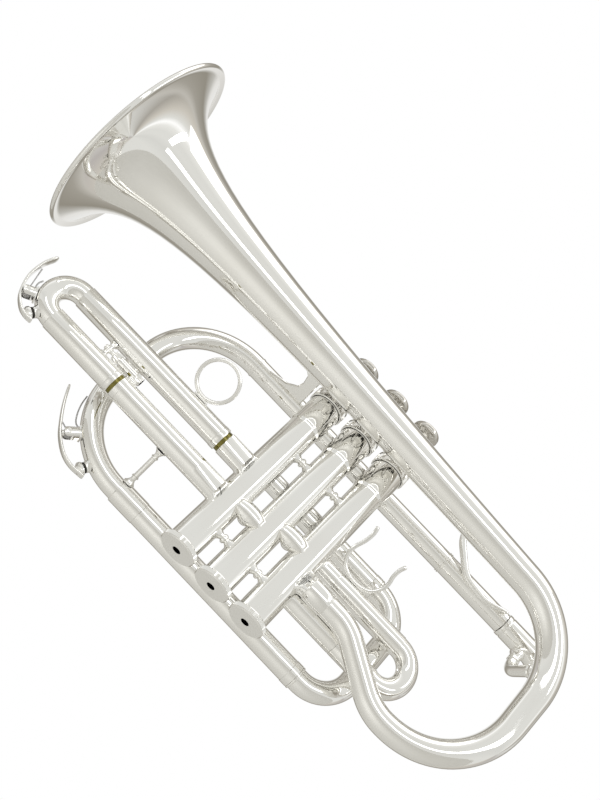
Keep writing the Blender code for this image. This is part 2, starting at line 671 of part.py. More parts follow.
def build_third_fixed():
    clear = (VALVE_X[3], CASING_CUT_R)
    y = THIRD_Y
    # Upper leg: an inner tube fixed in the valve, with a collar near the casing.
    front = THIRD_UPPER_END_X - 42.0
    path = [(front, y, THIRD_UPPER_Z), (VALVE_X[3] - STUB_REACH, y, THIRD_UPPER_Z)]
    collar = THIRD_STUB_COLLAR_X - front
    total = VALVE_X[3] - STUB_REACH - front
    outer = [(0, LEG_R), (collar, LEG_R), (collar + 0.05, SLEEVE_R), (total - 2.6, SLEEVE_R), (total, 5.6)]
    tube("third_upper_stub", path, outer, LEG_R - TUBE_WALL, cuts=(None, clear))
    # Lower leg: an outer sleeve fixed in the valve.
    path = [(THIRD_LOWER_END_X, y, THIRD_LOWER_Z), (VALVE_X[3] - STUB_REACH, y, THIRD_LOWER_Z)]
    total = VALVE_X[3] - STUB_REACH - THIRD_LOWER_END_X
    bore = LEG_R + SLIDE_CLEARANCE
    outer = [(0, SLEEVE_R), (total - 2.8, SLEEVE_R), (total, 5.6)]
    inner = [(0, bore), (total - 14.0, bore), (total - 13.0, 5.0), (total, 4.8)]
    tube("third_lower_sleeve", path, outer, inner, cuts=(None, clear))


def build_third_slide():
    """Bow, upper outer tube and lower inner leg; drawn along -X."""
    y = THIRD_Y
    bend = (THIRD_UPPER_Z - THIRD_LOWER_Z) / 2.0
    tip = THIRD_BOW_X - bend
    lower_end = THIRD_LOWER_END_X + 34.0
    corners = [(THIRD_UPPER_END_X, y, THIRD_UPPER_Z), (tip, y, THIRD_UPPER_Z),
               (tip, y, THIRD_LOWER_Z), (lower_end, y, THIRD_LOWER_Z)]
    path = rounded_path(corners, (bend - 0.005, bend - 0.005))
    total = sum(np.linalg.norm(b - a) for a, b in zip(path, path[1:]))
    bore = LEG_R + SLIDE_CLEARANCE
    upper = THIRD_UPPER_END_X - THIRD_BOW_X
    reach = 46.0
    collar = lower_end - THIRD_LOWER_END_X + THIRD_GAP
    outer = [(0, SLEEVE_R), (upper - 1.4, SLEEVE_R), (upper - 1.0, LEG_R + 0.2),
             (total - collar - 46.0, LEG_R + 0.2), (total - collar - 45.6, SLEEVE_R),
             (total - collar - 0.05, SLEEVE_R), (total - collar, LEG_R), (total, LEG_R)]
    inner = [(0, bore), (reach, bore), (reach + 1.0, LEG_R - TUBE_WALL), (total, LEG_R - TUBE_WALL)]
    slide = tube("third_slide", path, outer, inner, up=(0, 1, 0), origin=(THIRD_BOW_X, y, THIRD_LOWER_Z))
    add_solid(slide, "nipple", key_nipple(KEY_THIRD))


def build_finger_ring():
    """Wire ring that leans to the player's left, on a short foot."""
    lean = math.radians(RING_LEAN_DEG)
    up = np.array([0.0, -math.sin(lean), math.cos(lean)])
    foot = np.array([RING_X, THIRD_Y, THIRD_UPPER_Z]) + up * (SLEEVE_R + SOLDER_GAP)
    centre = foot + up * (RING_R + RING_WIRE_R + 0.3)
    path = []
    steps = 24
    for k in range(steps + 1):
        ang = 2 * math.pi * k / steps
        path.append(centre + RING_R * (math.cos(ang) * np.array([1.0, 0, 0]) + math.sin(ang) * up))
    unit_ring = circle(6)
    rings = []
    for k in range(steps):
        ang = 2 * math.pi * k / steps
        out = math.cos(ang) * np.array([1.0, 0, 0]) + math.sin(ang) * up
        across = np.cross(np.array([1.0, 0, 0]), up)
        rings.append([path[k] + RING_WIRE_R * (u * out + v * across) for u, v in unit_ring])
    verts, faces = skin(rings + [rings[0]], closed_ends=False)
    make_object("third_ring", verts, faces, SILVER, tuple(foot))


def build_third_stop():
    """Fixed stop barrel on the lower sleeve, and the headed rod that draws through it."""
    y = THIRD_Y
    z = (THIRD_UPPER_Z + THIRD_LOWER_Z) / 2.0
    front, rear = -119.5, -99.5
    profile = [(1.5, 0.0), (2.6, 0.0), (2.9, 0.5), (2.9, 19.5), (2.6, 20.0), (2.35, 20.0),
               (2.35, 1.6), (1.5, 1.6)]
    lathe("third_stop_barrel", profile, (front, y, z), (1, 0, 0), 12)
    post_x = front - 4.2
    low = THIRD_LOWER_Z + LEG_R + 0.2 + SOLDER_GAP + 0.55
    high = THIRD_UPPER_Z - SLEEVE_R - SOLDER_GAP
    body = [(0.0, low), (2.6, low), (2.6, low + 0.7), (1.5, low + 1.3), (1.5, high - 1.3),
            (2.6, high - 0.7), (2.6, high), (0.0, high)]
    post = lathe("third_stop_rod", body, (post_x, y, 0), (0, 0, 1), 12, closed=False,
                 origin=(post_x, y, z))
    rod_profile = [(0.0, 0.0), (1.2, 0.0), (1.2, 19.0), (2.1, 19.0), (2.1, 20.8), (0.0, 20.8)]
    verts, faces = lathe_mesh(rod_profile, (post_x, y, z), (1, 0, 0), 12, closed=False)
    rod = make_object("third_stop_rod_add", verts, faces, coll=CUTTERS)
    rod.display_type = "WIRE"
    rod.hide_render = True
    mod = post.modifiers.new("rod", "BOOLEAN")
    mod.operation = "UNION"
    mod.solver = "EXACT"
    mod.object = rod


# ================================================================ first slide
def build_first_fixed():
    y = FIRST_Y
    cut = (VALVE_X[1], CASING_CUT_R)
    x0 = VALVE_X[1] + STUB_REACH
    bore = FIRST_LEG_R + SLIDE_CLEARANCE
    rear = FIRST_UPPER_END_X + 34.0
    collar = FIRST_UPPER_END_X - SOLDER_GAP - x0
    outer = [(0, 5.2), (2.0, FIRST_SLEEVE_R), (collar - 0.05, FIRST_SLEEVE_R), (collar, FIRST_LEG_R),
             (rear - x0, FIRST_LEG_R)]
    tube("first_upper_stub", [(x0, y, FIRST_UPPER_Z), (rear, y, FIRST_UPPER_Z)], outer, 4.7,
         cuts=(cut, None))
    total = FIRST_LOWER_END_X - x0
    outer = [(0, 5.2), (2.0, FIRST_SLEEVE_R), (total, FIRST_SLEEVE_R)]
    inner = [(0, 4.7), (3.0, bore), (total, bore)]
    tube("first_lower_sleeve", [(x0, y, FIRST_LOWER_Z), (FIRST_LOWER_END_X, y, FIRST_LOWER_Z)],
         outer, inner, cuts=(cut, None))


def build_first_slide():
    """Bow, upper outer tube and lower inner leg; drawn along +X."""
    y = FIRST_Y
    bend = (FIRST_UPPER_Z - FIRST_LOWER_Z) / 2.0
    tip = FIRST_BOW_X + bend
    lower_in = 27.0
    corners = [(FIRST_UPPER_END_X, y, FIRST_UPPER_Z), (tip, y, FIRST_UPPER_Z),
               (tip, y, FIRST_LOWER_Z), (FIRST_LOWER_END_X - lower_in, y, FIRST_LOWER_Z)]
    path = rounded_path(corners, (bend - 0.005, bend - 0.005))
    total = sum(np.linalg.norm(b - a) for a, b in zip(path, path[1:]))
    upper = FIRST_BOW_X - FIRST_UPPER_END_X
    bore = FIRST_LEG_R + SLIDE_CLEARANCE
    reach = 36.0
    collar = lower_in + SOLDER_GAP
    outer = [(0, FIRST_SLEEVE_R), (upper - 1.2, FIRST_SLEEVE_R), (upper - 0.8, FIRST_LEG_R + 0.25),
             (total - collar - 25.0, FIRST_LEG_R + 0.25), (total - collar - 24.6, FIRST_SLEEVE_R),
             (total - collar - 0.05, FIRST_SLEEVE_R), (total - collar, FIRST_LEG_R), (total, FIRST_LEG_R)]
    inner = [(0, bore), (reach, bore), (reach + 1.0, FIRST_LEG_R - TUBE_WALL), (total, FIRST_LEG_R - TUBE_WALL)]
    tube("first_slide", path, outer, inner, up=(0, 1, 0), origin=(FIRST_BOW_X, y, FIRST_LOWER_Z))


def build_thumb_saddle():
    """Wire U that stands on the first slide's upper tube."""
    foot = np.array([51.5, FIRST_Y - 6.0, FIRST_UPPER_Z + 4.6])
    lean = unit((0.0, -0.45, 0.89))
    across = np.array([1.0, 0.0, 0.0])
    left = [foot - across * 12.0 + lean * 29.0, foot - across * 12.4]
    right = [foot + across * 12.4, foot + across * 13.6 + lean * 25.0]
    path = rounded_path([left[0], left[1], right[0], right[1]], (11.0, 11.0))
    tube("thumb_saddle", path, 1.15, sides=8, up=(0, 1, 0), origin=tuple(foot))


# ================================================================ second slide
def build_second_slide():
    clear = CASING_CUT_R
    bore = LEG_R + SLIDE_CLEARANCE
    for name, z in (("upper", SECOND_UPPER_Z), ("lower", SECOND_LOWER_Z)):
        path = [(0, 2.0, z), (0, SECOND_SLEEVE_Y, z)]
        verts, faces = tube_mesh(path, [(0, PORT_R), (12.0, PORT_R), (12.4, SLEEVE_R), (32.0, SLEEVE_R)],
                                 [(0, 5.0), (12.4, 5.0), (13.4, bore), (32.0, bore)])
        moved = []
        for p in verts:
            if p[1] < 2.1:
                p = np.array([p[0], math.sqrt(max(clear ** 2 - p[0] ** 2, 0.0)), p[2]])
            moved.append(p)
        make_object(f"second_{name}_sleeve", moved, faces)
    bend = (SECOND_UPPER_Z - SECOND_LOWER_Z) / 2.0
    inside = 17.0
    start = SECOND_SLEEVE_Y - inside
    tip = SECOND_BOW_Y + bend
    corners = [(0, start, SECOND_UPPER_Z), (0, tip, SECOND_UPPER_Z),
               (0, tip, SECOND_LOWER_Z), (0, start, SECOND_LOWER_Z)]
    path = rounded_path(corners, (bend - 0.005, bend - 0.005))
    total = sum(np.linalg.norm(b - a) for a, b in zip(path, path[1:]))
    step = inside + SOLDER_GAP
    ferrule = [(0, LEG_R), (step, LEG_R), (step + 0.05, SLEEVE_R), (SECOND_BOW_Y - start - 0.4, SLEEVE_R),
               (SECOND_BOW_Y - start, LEG_R + 0.1)]
    outer = ferrule + [(total - s, r) for s, r in ferrule[::-1]]
    tube("second_slide", path, outer, LEG_R - TUBE_WALL, up=(1, 0, 0),
         origin=(0, SECOND_BOW_Y, SECOND_LOWER_Z))


# ================================================================ braces and hook
def flanged_rod(name, start, end, rod_r, flange_r, flange_t=1.2, finish=SILVER):
    start = np.asarray(start, dtype=float)
    end = np.asarray(end, dtype=float)
    length = np.linalg.norm(end - start)
    profile = [(0.0, 0.0), (flange_r, 0.0), (flange_r, flange_t * 0.5), (rod_r, flange_t * 1.4),
               (rod_r, length - flange_t * 1.4), (flange_r, length - flange_t * 0.5),
               (flange_r, length), (0.0, length)]
    return lathe(name, profile, start, end - start, 12, closed=False, finish=finish)


def between(a, ra, b, rb, gap=SOLDER_GAP):
    """Ends of a rod that joins two round tubes along the line of their centres."""
    a = np.asarray(a, dtype=float)
    b = np.asarray(b, dtype=float)
    d = unit(b - a)
    return a + d * (ra + gap), b - d * (rb + gap)


def build_braces():
    start, end = between((-66.5, THIRD_Y, THIRD_LOWER_Z), SLEEVE_R + 0.45,
                         (-66.5, PIPE_Y, BOTTOM_PIPE_Z), FERRULE_R + 0.45)
    flanged_rod("pipe_brace", start, end, 1.5, 3.2)
    # Stout curved brace that hangs from the receiver and reaches left to the crook.
    path = rounded_path([(147.0, LEADPIPE_Y, LEADPIPE_Z - 7.4), (147.0, LEADPIPE_Y - 3.0, 99.0),
                         (152.5, BELL_Y + 13.3, 96.5)], (9.0,))
    total = sum(np.linalg.norm(b - a) for a, b in zip(path, path[1:]))
    radii = [(0.0, 4.4), (1.5, 4.2), (5.0, 3.3), (total - 6.0, 3.4), (total - 2.0, 4.4), (total, 4.6)]
    tube("receiver_brace", path, radii, sides=12, up=(1, 0, 0))
    # Waisted plate between the bell and the leadpipe, in front of the third valve.
    y_pipe = LEADPIPE_Y - LEADPIPE_R - SOLDER_GAP
    y_bell = BELL_Y + bell_radius(-38.0 - BELL_RIM_X) + 0.7
    z_pipe, z_bell = LEADPIPE_Z + 0.5, 127.5
    rows = [(0.0, -62.0, -36.4), (0.12, -50.0, -36.4), (0.3, -44.5, -36.4), (0.5, -43.5, -36.4),
            (0.75, -44.5, -36.4), (0.9, -49.0, -36.4), (1.0, -56.0, -36.4)]
    edge_front = []
    edge_rear = []
    for t, x0, x1 in rows:
        y = y_pipe + (y_bell - y_pipe) * t
        z = z_pipe + (z_bell - z_pipe) * t
        edge_front.append((x0, y, z))
        edge_rear.append((x1, y, z))
    plate("bell_brace", edge_front + edge_rear[::-1], (0, 0, -0.8), (0, 0, 0.8))


def build_finger_hook():
    """Flat hook soldered to the leadpipe's left side, for the little finger."""
    y = LEADPIPE_Y - LEADPIPE_R - SOLDER_GAP - 1.5
    path = rounded_path([(127.0, y, 122.5), (112.0, y, 117.0), (96.0, y, 119.0), (80.0, y, 136.0),
                         (80.0, y, 154.5), (97.0, y, 154.5)], (14.0, 16.0, 14.0, 7.5))
    strip("finger_hook", path, 3.0, [(0, 2.2), (20, 4.2), (200, 4.2)], up=(0, 1, 0))


# ================================================================ water keys
# A water key lies in the plane of its bow. Places on it are given as an angle
# about the bow's centre and a height above the bow's outer surface.
KEY_BOW = {
    "centre": (FRONT_BOW_X + FRONT_BOW_BEND, PIPE_Y, BOTTOM_PIPE_Z + FRONT_BOW_BEND),
    "bend": FRONT_BOW_BEND, "tube_r": LEADPIPE_R,
    "pivot": (227.5, 6.1), "cork": 249.5,
    "lever": [(200.3, 11.5), (210.6, 10.4), (220.6, 10.1), (229.0, 10.4), (238.3, 10.0),
              (246.0, 8.2), (254.5, 4.6)],
}
KEY_THIRD = {
    "centre": (THIRD_BOW_X, THIRD_Y, (THIRD_UPPER_Z + THIRD_LOWER_Z) / 2.0),
    "bend": (THIRD_UPPER_Z - THIRD_LOWER_Z) / 2.0, "tube_r": LEG_R + 0.2,
    "pivot": (211.0, 4.6), "cork": 244.0,
    "lever": [(147.0, 10.9), (157.0, 9.8), (168.0, 9.1), (190.0, 8.2), (214.0, 7.9),
              (232.0, 7.3), (244.0, 6.2), (256.0, 4.4)],
}
NIPPLE_H = 1.5
CORK_H = 1.9
CORK_R = 3.4
EAR_OUT = 3.6             # half width over the saddle's ears
EAR_T = 1.0
LEVER_T = 1.3


def key_point(key, angle, height):
    """Point at an angle and a height over the bow, with the outward direction there."""
    a = math.radians(angle)
    n = np.array([math.cos(a), 0.0, math.sin(a)])
    return np.asarray(key["centre"]) + n * (key["bend"] + key["tube_r"] + height), n


def key_pivot(key):
    return key_point(key, *key["pivot"])[0]


def add_solid(target, label, mesh, operation="UNION"):
    """Join (or cut) one more closed shape into a node."""
    extra = make_object(f"{target.name}_{label}", *mesh, coll=CUTTERS)
    extra.display_type = "WIRE"
    extra.hide_render = True
    mod = target.modifiers.new(label, "BOOLEAN")
    mod.operation = operation
    mod.solver = "EXACT"
    mod.object = extra


def key_nipple(key):
    """Raised seat round the drain, part of the bow."""
    base, n = key_point(key, key["cork"], 0.0)
    profile = [(0.0, -0.35), (CORK_R - 0.2, -0.35), (CORK_R - 0.2, NIPPLE_H - 0.2),
               (CORK_R - 0.5, NIPPLE_H), (0.0, NIPPLE_H)]
    return lathe_mesh(profile, base, n, 12, closed=False)


def build_water_key(prefix, key):
    """Saddle with two ears, lever that turns between them, and its cork."""
    pivot, n = key_point(key, *key["pivot"])
    base, _ = key_point(key, key["pivot"][0], SOLDER_GAP)
    t = np.array([-n[2], 0.0, n[0]])
    y = np.array([0.0, 1.0, 0.0])
    top = key["pivot"][1] + 1.7 - SOLDER_GAP
    outline = [(-EAR_OUT, 0.0), (EAR_OUT, 0.0), (EAR_OUT, top), (EAR_OUT - EAR_T, top),
               (EAR_OUT - EAR_T, 0.9), (EAR_T - EAR_OUT, 0.9), (EAR_T - EAR_OUT, top), (-EAR_OUT, top)]
    points = [base + n * b + y * a for a, b in outline]
    plate(f"{prefix}_key_saddle", points, -t * 2.6, t * 2.6)
    path = [key_point(key, *place)[0] for place in key["lever"]]
    lengths = [0.0]
    for p, q in zip(path, path[1:]):
        lengths.append(lengths[-1] + np.linalg.norm(q - p))
    widths = [(0.0, 3.0), (2.5, 5.6), (lengths[-1] * 0.4, 4.8), (lengths[-1], 4.8)]
    lever = strip(f"{prefix}_key_lever", path, widths, LEVER_T, up=y, origin=tuple(pivot))
    barrel = lathe_mesh([(0.0, -2.35), (1.8, -2.35), (1.8, 2.35), (0.0, 2.35)], pivot, y, 12, closed=False)
    arch = float(np.interp(key["pivot"][0], [a for a, _ in key["lever"]], [h for _, h in key["lever"]]))
    web = lathe_mesh([(0.0, 0.0), (1.5, 0.0), (1.5, arch - key["pivot"][1]),
                      (0.0, arch - key["pivot"][1])], pivot, n, 8, closed=False)
    seat, out = key_point(key, key["cork"], NIPPLE_H + 0.1)
    drop = float(np.interp(key["cork"], [a for a, _ in key["lever"]], [h for _, h in key["lever"]]))
    cup_low = CORK_H + 0.2
    cup_high = drop - NIPPLE_H - 0.1
    cup = lathe_mesh([(0.0, cup_low), (CORK_R + 0.4, cup_low), (CORK_R + 0.4, cup_low + 1.4),
                      (2.2, cup_high), (0.0, cup_high)], seat, out, 12, closed=False)
    for label, mesh in (("barrel", barrel), ("web", web), ("cup", cup)):
        add_solid(lever, label, mesh)
    lathe(f"{prefix}_key_cork", [(0.0, 0.0), (CORK_R, 0.0), (CORK_R, CORK_H), (0.0, CORK_H)],
          seat, out, 12, closed=False, finish=CORK, origin=tuple(pivot))


# ================================================================ assembly
def centre_on_base():
    """Shift every node so that the origin is under the middle of the assembly."""
    bpy.context.view_layer.update()
    depsgraph = bpy.context.evaluated_depsgraph_get()
    low = np.full(3, np.inf)
    high = np.full(3, -np.inf)
    for obj in PARTS.objects:
        mesh = obj.evaluated_get(depsgraph).to_mesh()
        for vert in mesh.vertices:
            p = np.array(obj.matrix_world @ vert.co)
            low = np.minimum(low, p)
            high = np.maximum(high, p)
        obj.evaluated_get(depsgraph).to_mesh_clear()
    shift = Vector(((low[0] + high[0]) / 2, (low[1] + high[1]) / 2, low[2]))
    for obj in bpy.data.objects:
        obj.location -= shift
    return shift


def main():
    global PARTS, CUTTERS
    clear_scene()
    PARTS = new_collection(OBJECT_NAME)
    CUTTERS = new_collection(OBJECT_NAME + "_cutters", hidden=True)
    build_valves()
    build_bell()
    build_crook()
    build_leadpipe()
    build_front_bow()
    build_tuning_sleeves()
    build_main_slide()
    build_third_fixed()
    build_third_slide()
    build_finger_ring()
    build_third_stop()
    build_first_fixed()
    build_first_slide()
    build_thumb_saddle()
    build_second_slide()
    build_braces()
    build_finger_hook()
    build_water_key("bow", KEY_BOW)
    build_water_key("third", KEY_THIRD)
    return centre_on_base()


PARTS = None
CUTTERS = None

if __name__ == "__main__":
    main()
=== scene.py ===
"""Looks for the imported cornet: smooth silver skins, small trim, studio and camera.

Shapes are built in the working frame, in millimetres: the origin is on the
second valve's axis at the face of its bottom cap, +X towards the player, +Y to
the player's right, +Z up the valves.
"""
import math

import bpy
import bmesh
import numpy as np
from mathutils import Matrix, Vector


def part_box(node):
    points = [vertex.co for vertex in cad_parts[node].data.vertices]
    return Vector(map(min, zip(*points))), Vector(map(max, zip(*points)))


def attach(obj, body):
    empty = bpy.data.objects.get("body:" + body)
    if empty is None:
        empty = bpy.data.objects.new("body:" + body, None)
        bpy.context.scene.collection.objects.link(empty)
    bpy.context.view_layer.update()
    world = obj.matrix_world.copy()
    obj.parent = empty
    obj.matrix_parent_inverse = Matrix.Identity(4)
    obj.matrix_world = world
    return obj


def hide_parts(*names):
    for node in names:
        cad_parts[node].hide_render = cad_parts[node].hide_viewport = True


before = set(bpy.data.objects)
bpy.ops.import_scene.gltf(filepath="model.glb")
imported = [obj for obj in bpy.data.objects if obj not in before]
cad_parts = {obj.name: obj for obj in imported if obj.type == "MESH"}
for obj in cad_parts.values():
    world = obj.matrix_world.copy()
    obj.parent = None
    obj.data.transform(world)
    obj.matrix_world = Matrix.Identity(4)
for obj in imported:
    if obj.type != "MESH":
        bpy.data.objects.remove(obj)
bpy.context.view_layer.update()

_low, _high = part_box("casing_2")
_cap_low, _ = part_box("bottom_cap_2")
ORIGIN = np.array([(_low.x + _high.x) / 2, (_low.y + _high.y) / 2, _cap_low.z])
ROOT = "instrument"

# ---------------------------------------------------------------- dimensions, mm
VALVE_X = {1: 24.5, 2: 0.0, 3: -24.5}
MM = 0.001                # metres
CASING_R = 9.1
CASING_BORE_R = 8.3
STUB_REACH = 9.7          # from a valve's axis to the plain end of a tube on it
LEG_R = 6.1               # inner legs of the slides
LEG_BORE_R = 5.5
SLEEVE_R = 6.78           # sleeves that the legs slide in
BORE_R = 6.18             # bore of those sleeves
BAND_R = 6.98             # raised band at the mouth of a sleeve
FERRULE_R = 7.0
PIPE_BORE_R = 5.6
PIPE_Y = 20.8
LEADPIPE_Y = 17.5
LEADPIPE_Z = 120.5
LEADPIPE_R = 6.3
BOTTOM_Z = 8.7
TUNING_Z = 78.2
FRONT_BOW_X = -112.4
FRONT_BEND = 42.0
TUNING_BOW_X = 87.0
TUNING_BEND = 20.5
BELL_RIM = np.array([-197.5, -24.5, 136.6])
BELL_TILT = math.radians(2.4)
BELL_AXIS = np.array([math.cos(BELL_TILT), 0.0, -math.sin(BELL_TILT)])
BELL_R = 59.8
BELL_LENGTH = 307.0
FLARE_OFFSET = 10.0       # the flare follows a power of the distance from the rim
FLARE_POWER = 0.545
SHEET = 0.75              # wall of the bell and crook
THIRD_Y = -5.0
THIRD_HI = 58.9
THIRD_LO = 36.5
THIRD_BOW_X = -154.0
FIRST_Y = 8.0
FIRST_HI = 57.2
FIRST_LO = 31.6
FIRST_BOW_X = 92.5
FIRST_R = 5.6
FIRST_SLEEVE_R = 6.28
SECOND_HI = 57.0
SECOND_LO = 34.0
KNUCKLE_Y = -4.6
RING_X = -73.0
RING_R = 11.3
RING_WIRE_R = 1.1
RING_LEAN = math.radians(35.0)
THIRD_MOUTH_X = -49.8     # mouth of the third slide's upper leg, at rest
FIRST_MOUTH_X = 44.6      # mouth of the first slide's upper leg


# ================================================================ materials
def node_material(name):
    mat = bpy.data.materials.new(name)
    mat.use_nodes = True
    nodes = mat.node_tree.nodes
    return mat, nodes, mat.node_tree.links, nodes["Principled BSDF"]


def add_noise(nodes, links, scale, detail=3.0, stretch=(1.0, 1.0, 1.0)):
    """Noise in the object's own space, so that it rides with the piece."""
    coord = nodes.new("ShaderNodeTexCoord")
    mapping = nodes.new("ShaderNodeMapping")
    mapping.inputs["Scale"].default_value = stretch
    noise = nodes.new("ShaderNodeTexNoise")
    noise.inputs["Scale"].default_value = scale
    noise.inputs["Detail"].default_value = detail
    links.new(coord.outputs["Object"], mapping.inputs["Vector"])
    links.new(mapping.outputs["Vector"], noise.inputs["Vector"])
    return noise


def add_ramp(nodes, links, source, stops):
    """Colour ramp through (place, colour) stops."""
    ramp = nodes.new("ShaderNodeValToRGB")
    while len(ramp.color_ramp.elements) < len(stops):
        ramp.color_ramp.elements.new(0.5)
    for element, (place, colour) in zip(ramp.color_ramp.elements, stops):
        element.position = place
        element.color = colour if len(colour) == 4 else (*colour, 1.0)
    links.new(source, ramp.inputs["Fac"])
    return ramp


def add_bump(nodes, links, source, strength, distance, shader):
    bump = nodes.new("ShaderNodeBump")
    bump.inputs["Strength"].default_value = strength
    bump.inputs["Distance"].default_value = distance
    links.new(source, bump.inputs["Height"])
    links.new(bump.outputs["Normal"], shader.inputs["Normal"])


def metal(name, clean, dull, rough_low, rough_high, haze_scale=22.0, wave=0.05, wave_scale=55.0):
    """Polished metal: hazy colour shift, smudged gloss and a faint hand-buffed wave."""
    mat, nodes, links, shader = node_material(name)
    shader.inputs["Metallic"].default_value = 1.0
    haze = add_noise(nodes, links, haze_scale, 4.0)
    colour = add_ramp(nodes, links, haze.outputs["Fac"], [(0.35, clean), (0.75, dull)])
    links.new(colour.outputs["Color"], shader.inputs["Base Color"])
    smudge = add_noise(nodes, links, haze_scale * 2.4, 2.5, (1.0, 1.6, 1.0))
    gloss = add_ramp(nodes, links, smudge.outputs["Fac"],
                     [(0.3, (rough_low,) * 3), (0.8, (rough_high,) * 3)])
    links.new(gloss.outputs["Color"], shader.inputs["Roughness"])
    buff = add_noise(nodes, links, wave_scale, 2.0)
    add_bump(nodes, links, buff.outputs["Fac"], wave, 0.0006, shader)
    return mat


def make_pearl():
    mat, nodes, links, shader = node_material("mother_of_pearl")
    shader.inputs["Roughness"].default_value = 0.16
    shader.inputs["Coat Weight"].default_value = 0.6
    shader.inputs["Coat Roughness"].default_value = 0.05
    shader.inputs["Sheen Weight"].default_value = 0.25
    cloud = add_noise(nodes, links, 260.0, 5.0, (1.0, 2.2, 1.0))
    colour = add_ramp(nodes, links, cloud.outputs["Fac"],
                      [(0.25, (0.93, 0.88, 0.86)), (0.5, (0.90, 0.91, 0.88)), (0.75, (0.84, 0.90, 0.93))])
    links.new(colour.outputs["Color"], shader.inputs["Base Color"])
    add_bump(nodes, links, cloud.outputs["Fac"], 0.08, 0.0002, shader)
    return mat


def make_cork():
    mat, nodes, links, shader = node_material("black_cork")
    shader.inputs["Roughness"].default_value = 0.82
    grain = add_noise(nodes, links, 900.0, 6.0)
    colour = add_ramp(nodes, links, grain.outputs["Fac"],
                      [(0.3, (0.008, 0.008, 0.007)), (0.8, (0.06, 0.055, 0.045))])
    links.new(colour.outputs["Color"], shader.inputs["Base Color"])
    add_bump(nodes, links, grain.outputs["Fac"], 0.5, 0.0003, shader)
    return mat


def make_floor_material():
    mat, nodes, links, shader = node_material("studio_floor")
    shader.inputs["Roughness"].default_value = 0.85
    cloud = add_noise(nodes, links, 1.4, 3.0)
    colour = add_ramp(nodes, links, cloud.outputs["Fac"],
                      [(0.3, (0.80, 0.80, 0.78)), (0.7, (0.83, 0.83, 0.81))])
    links.new(colour.outputs["Color"], shader.inputs["Base Color"])
    shader.inputs["Emission Color"].default_value = (1.0, 1.0, 0.975, 1.0)
    shader.inputs["Emission Strength"].default_value = 0.05
    return mat


SILVER = metal("silver_plate", (0.955, 0.95, 0.93), (0.915, 0.905, 0.875), 0.03, 0.07, wave=0.025,
               wave_scale=40.0)
STEEL = metal("valve_steel", (0.66, 0.665, 0.67), (0.56, 0.56, 0.56), 0.18, 0.3)
WIRE = metal("spring_wire", (0.50, 0.50, 0.51), (0.40, 0.39, 0.38), 0.22, 0.34)
BRASS = metal("guide_brass", (0.80, 0.62, 0.33), (0.66, 0.49, 0.25), 0.2, 0.34)
# Dark olive for the short gaps of inner leg between slide mouths and collars: painted shade in that recess,
# since the legs themselves are silver.
LEG_GAP_SHADE = metal("leg_gap_painted_shade", (0.26, 0.23, 0.07), (0.14, 0.12, 0.035), 0.2, 0.34)
# Darker copy of the silver for the buttons: painted shade for their darkly reflecting undersides, not a
# different metal.
BUTTON_PAINTED_SHADE = metal("button_silver_painted_shade", (0.66, 0.64, 0.60), (0.54, 0.52, 0.48), 0.08, 0.16)
PEARL = make_pearl()
CORK = make_cork()


# ================================================================ mesh helpers
def unit(v):
    v = np.asarray(v, dtype=float)
    return v / np.linalg.norm(v)


def make(name, verts, faces, body=ROOT, replaces=(), material=None, slot="silver_plate", sharp=32.0):
    """Closed mesh from points in the working frame, riding on a body."""
    mesh = bpy.data.meshes.new(name)
    points = np.asarray(verts, dtype=float) * MM + ORIGIN
    mesh.from_pydata([tuple(p) for p in points], [], [tuple(f) for f in faces])
    work = bmesh.new()
    work.from_mesh(mesh)
    bmesh.ops.remove_doubles(work, verts=work.verts, dist=2e-6)
    bmesh.ops.recalc_face_normals(work, faces=work.faces)
    work.to_mesh(mesh)
    work.free()
    obj = bpy.data.objects.new(name, mesh)
    bpy.context.scene.collection.objects.link(obj)
    mesh.materials.append(material or SILVER)
    mesh.shade_smooth()
    mesh.set_sharp_from_angle(angle=math.radians(sharp))
    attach(obj, body)
    if replaces:
        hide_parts(*replaces)
    return obj


def rounded_path(corners, bends, step_deg=4.0):
    """Polyline through `corners`, with an arc of radius bends[i] at inner corner i."""
    pts = [np.asarray(p, dtype=float) for p in corners]
    path = [pts[0]]
    for i, bend in enumerate(bends, start=1):
        before, here, after = pts[i - 1], pts[i], pts[i + 1]
        d_in = unit(here - before)
        d_out = unit(after - here)
        turn = math.acos(np.clip(np.dot(d_in, d_out), -1.0, 1.0))
        setback = bend * math.tan(turn / 2.0)
        side = unit(d_out - d_in * np.dot(d_in, d_out))
        centre = here - d_in * setback + side * bend
        steps = max(4, int(round(math.degrees(turn) / step_deg)))
        for k in range(steps + 1):
            ang = turn * k / steps
            path.append(centre + bend * (math.sin(ang) * d_in - math.cos(ang) * side))
    path.append(pts[-1])
    kept = [path[0]]
    for p in path[1:]:
        if np.linalg.norm(p - kept[-1]) > 1e-3:
            kept.append(p)
    return kept


def smooth_path(points, count):
    """Catmull-Rom curve through points, with `count` samples to each span."""
    pts = np.array(points, dtype=float)
    ext = np.vstack([2 * pts[0] - pts[1], pts, 2 * pts[-1] - pts[-2]])
    out = []
    for i in range(len(pts) - 1):
        p0, p1, p2, p3 = ext[i:i + 4]
        for t in np.linspace(0, 1, count, endpoint=False):
            out.append(0.5 * (2 * p1 + (p2 - p0) * t + (2 * p0 - 5 * p1 + 4 * p2 - p3) * t ** 2
                              + (3 * p1 - p0 - 3 * p2 + p3) * t ** 3))
    out.append(pts[-1])
    return out


def path_length(path):
    return float(sum(np.linalg.norm(b - a) for a, b in zip(path, path[1:])))


def along(profile, s):
    """Value at length s of a constant or a list of (length, value)."""
    if np.isscalar(profile):
        return float(profile)
    return float(np.interp(s, [p[0] for p in profile], [p[1] for p in profile]))


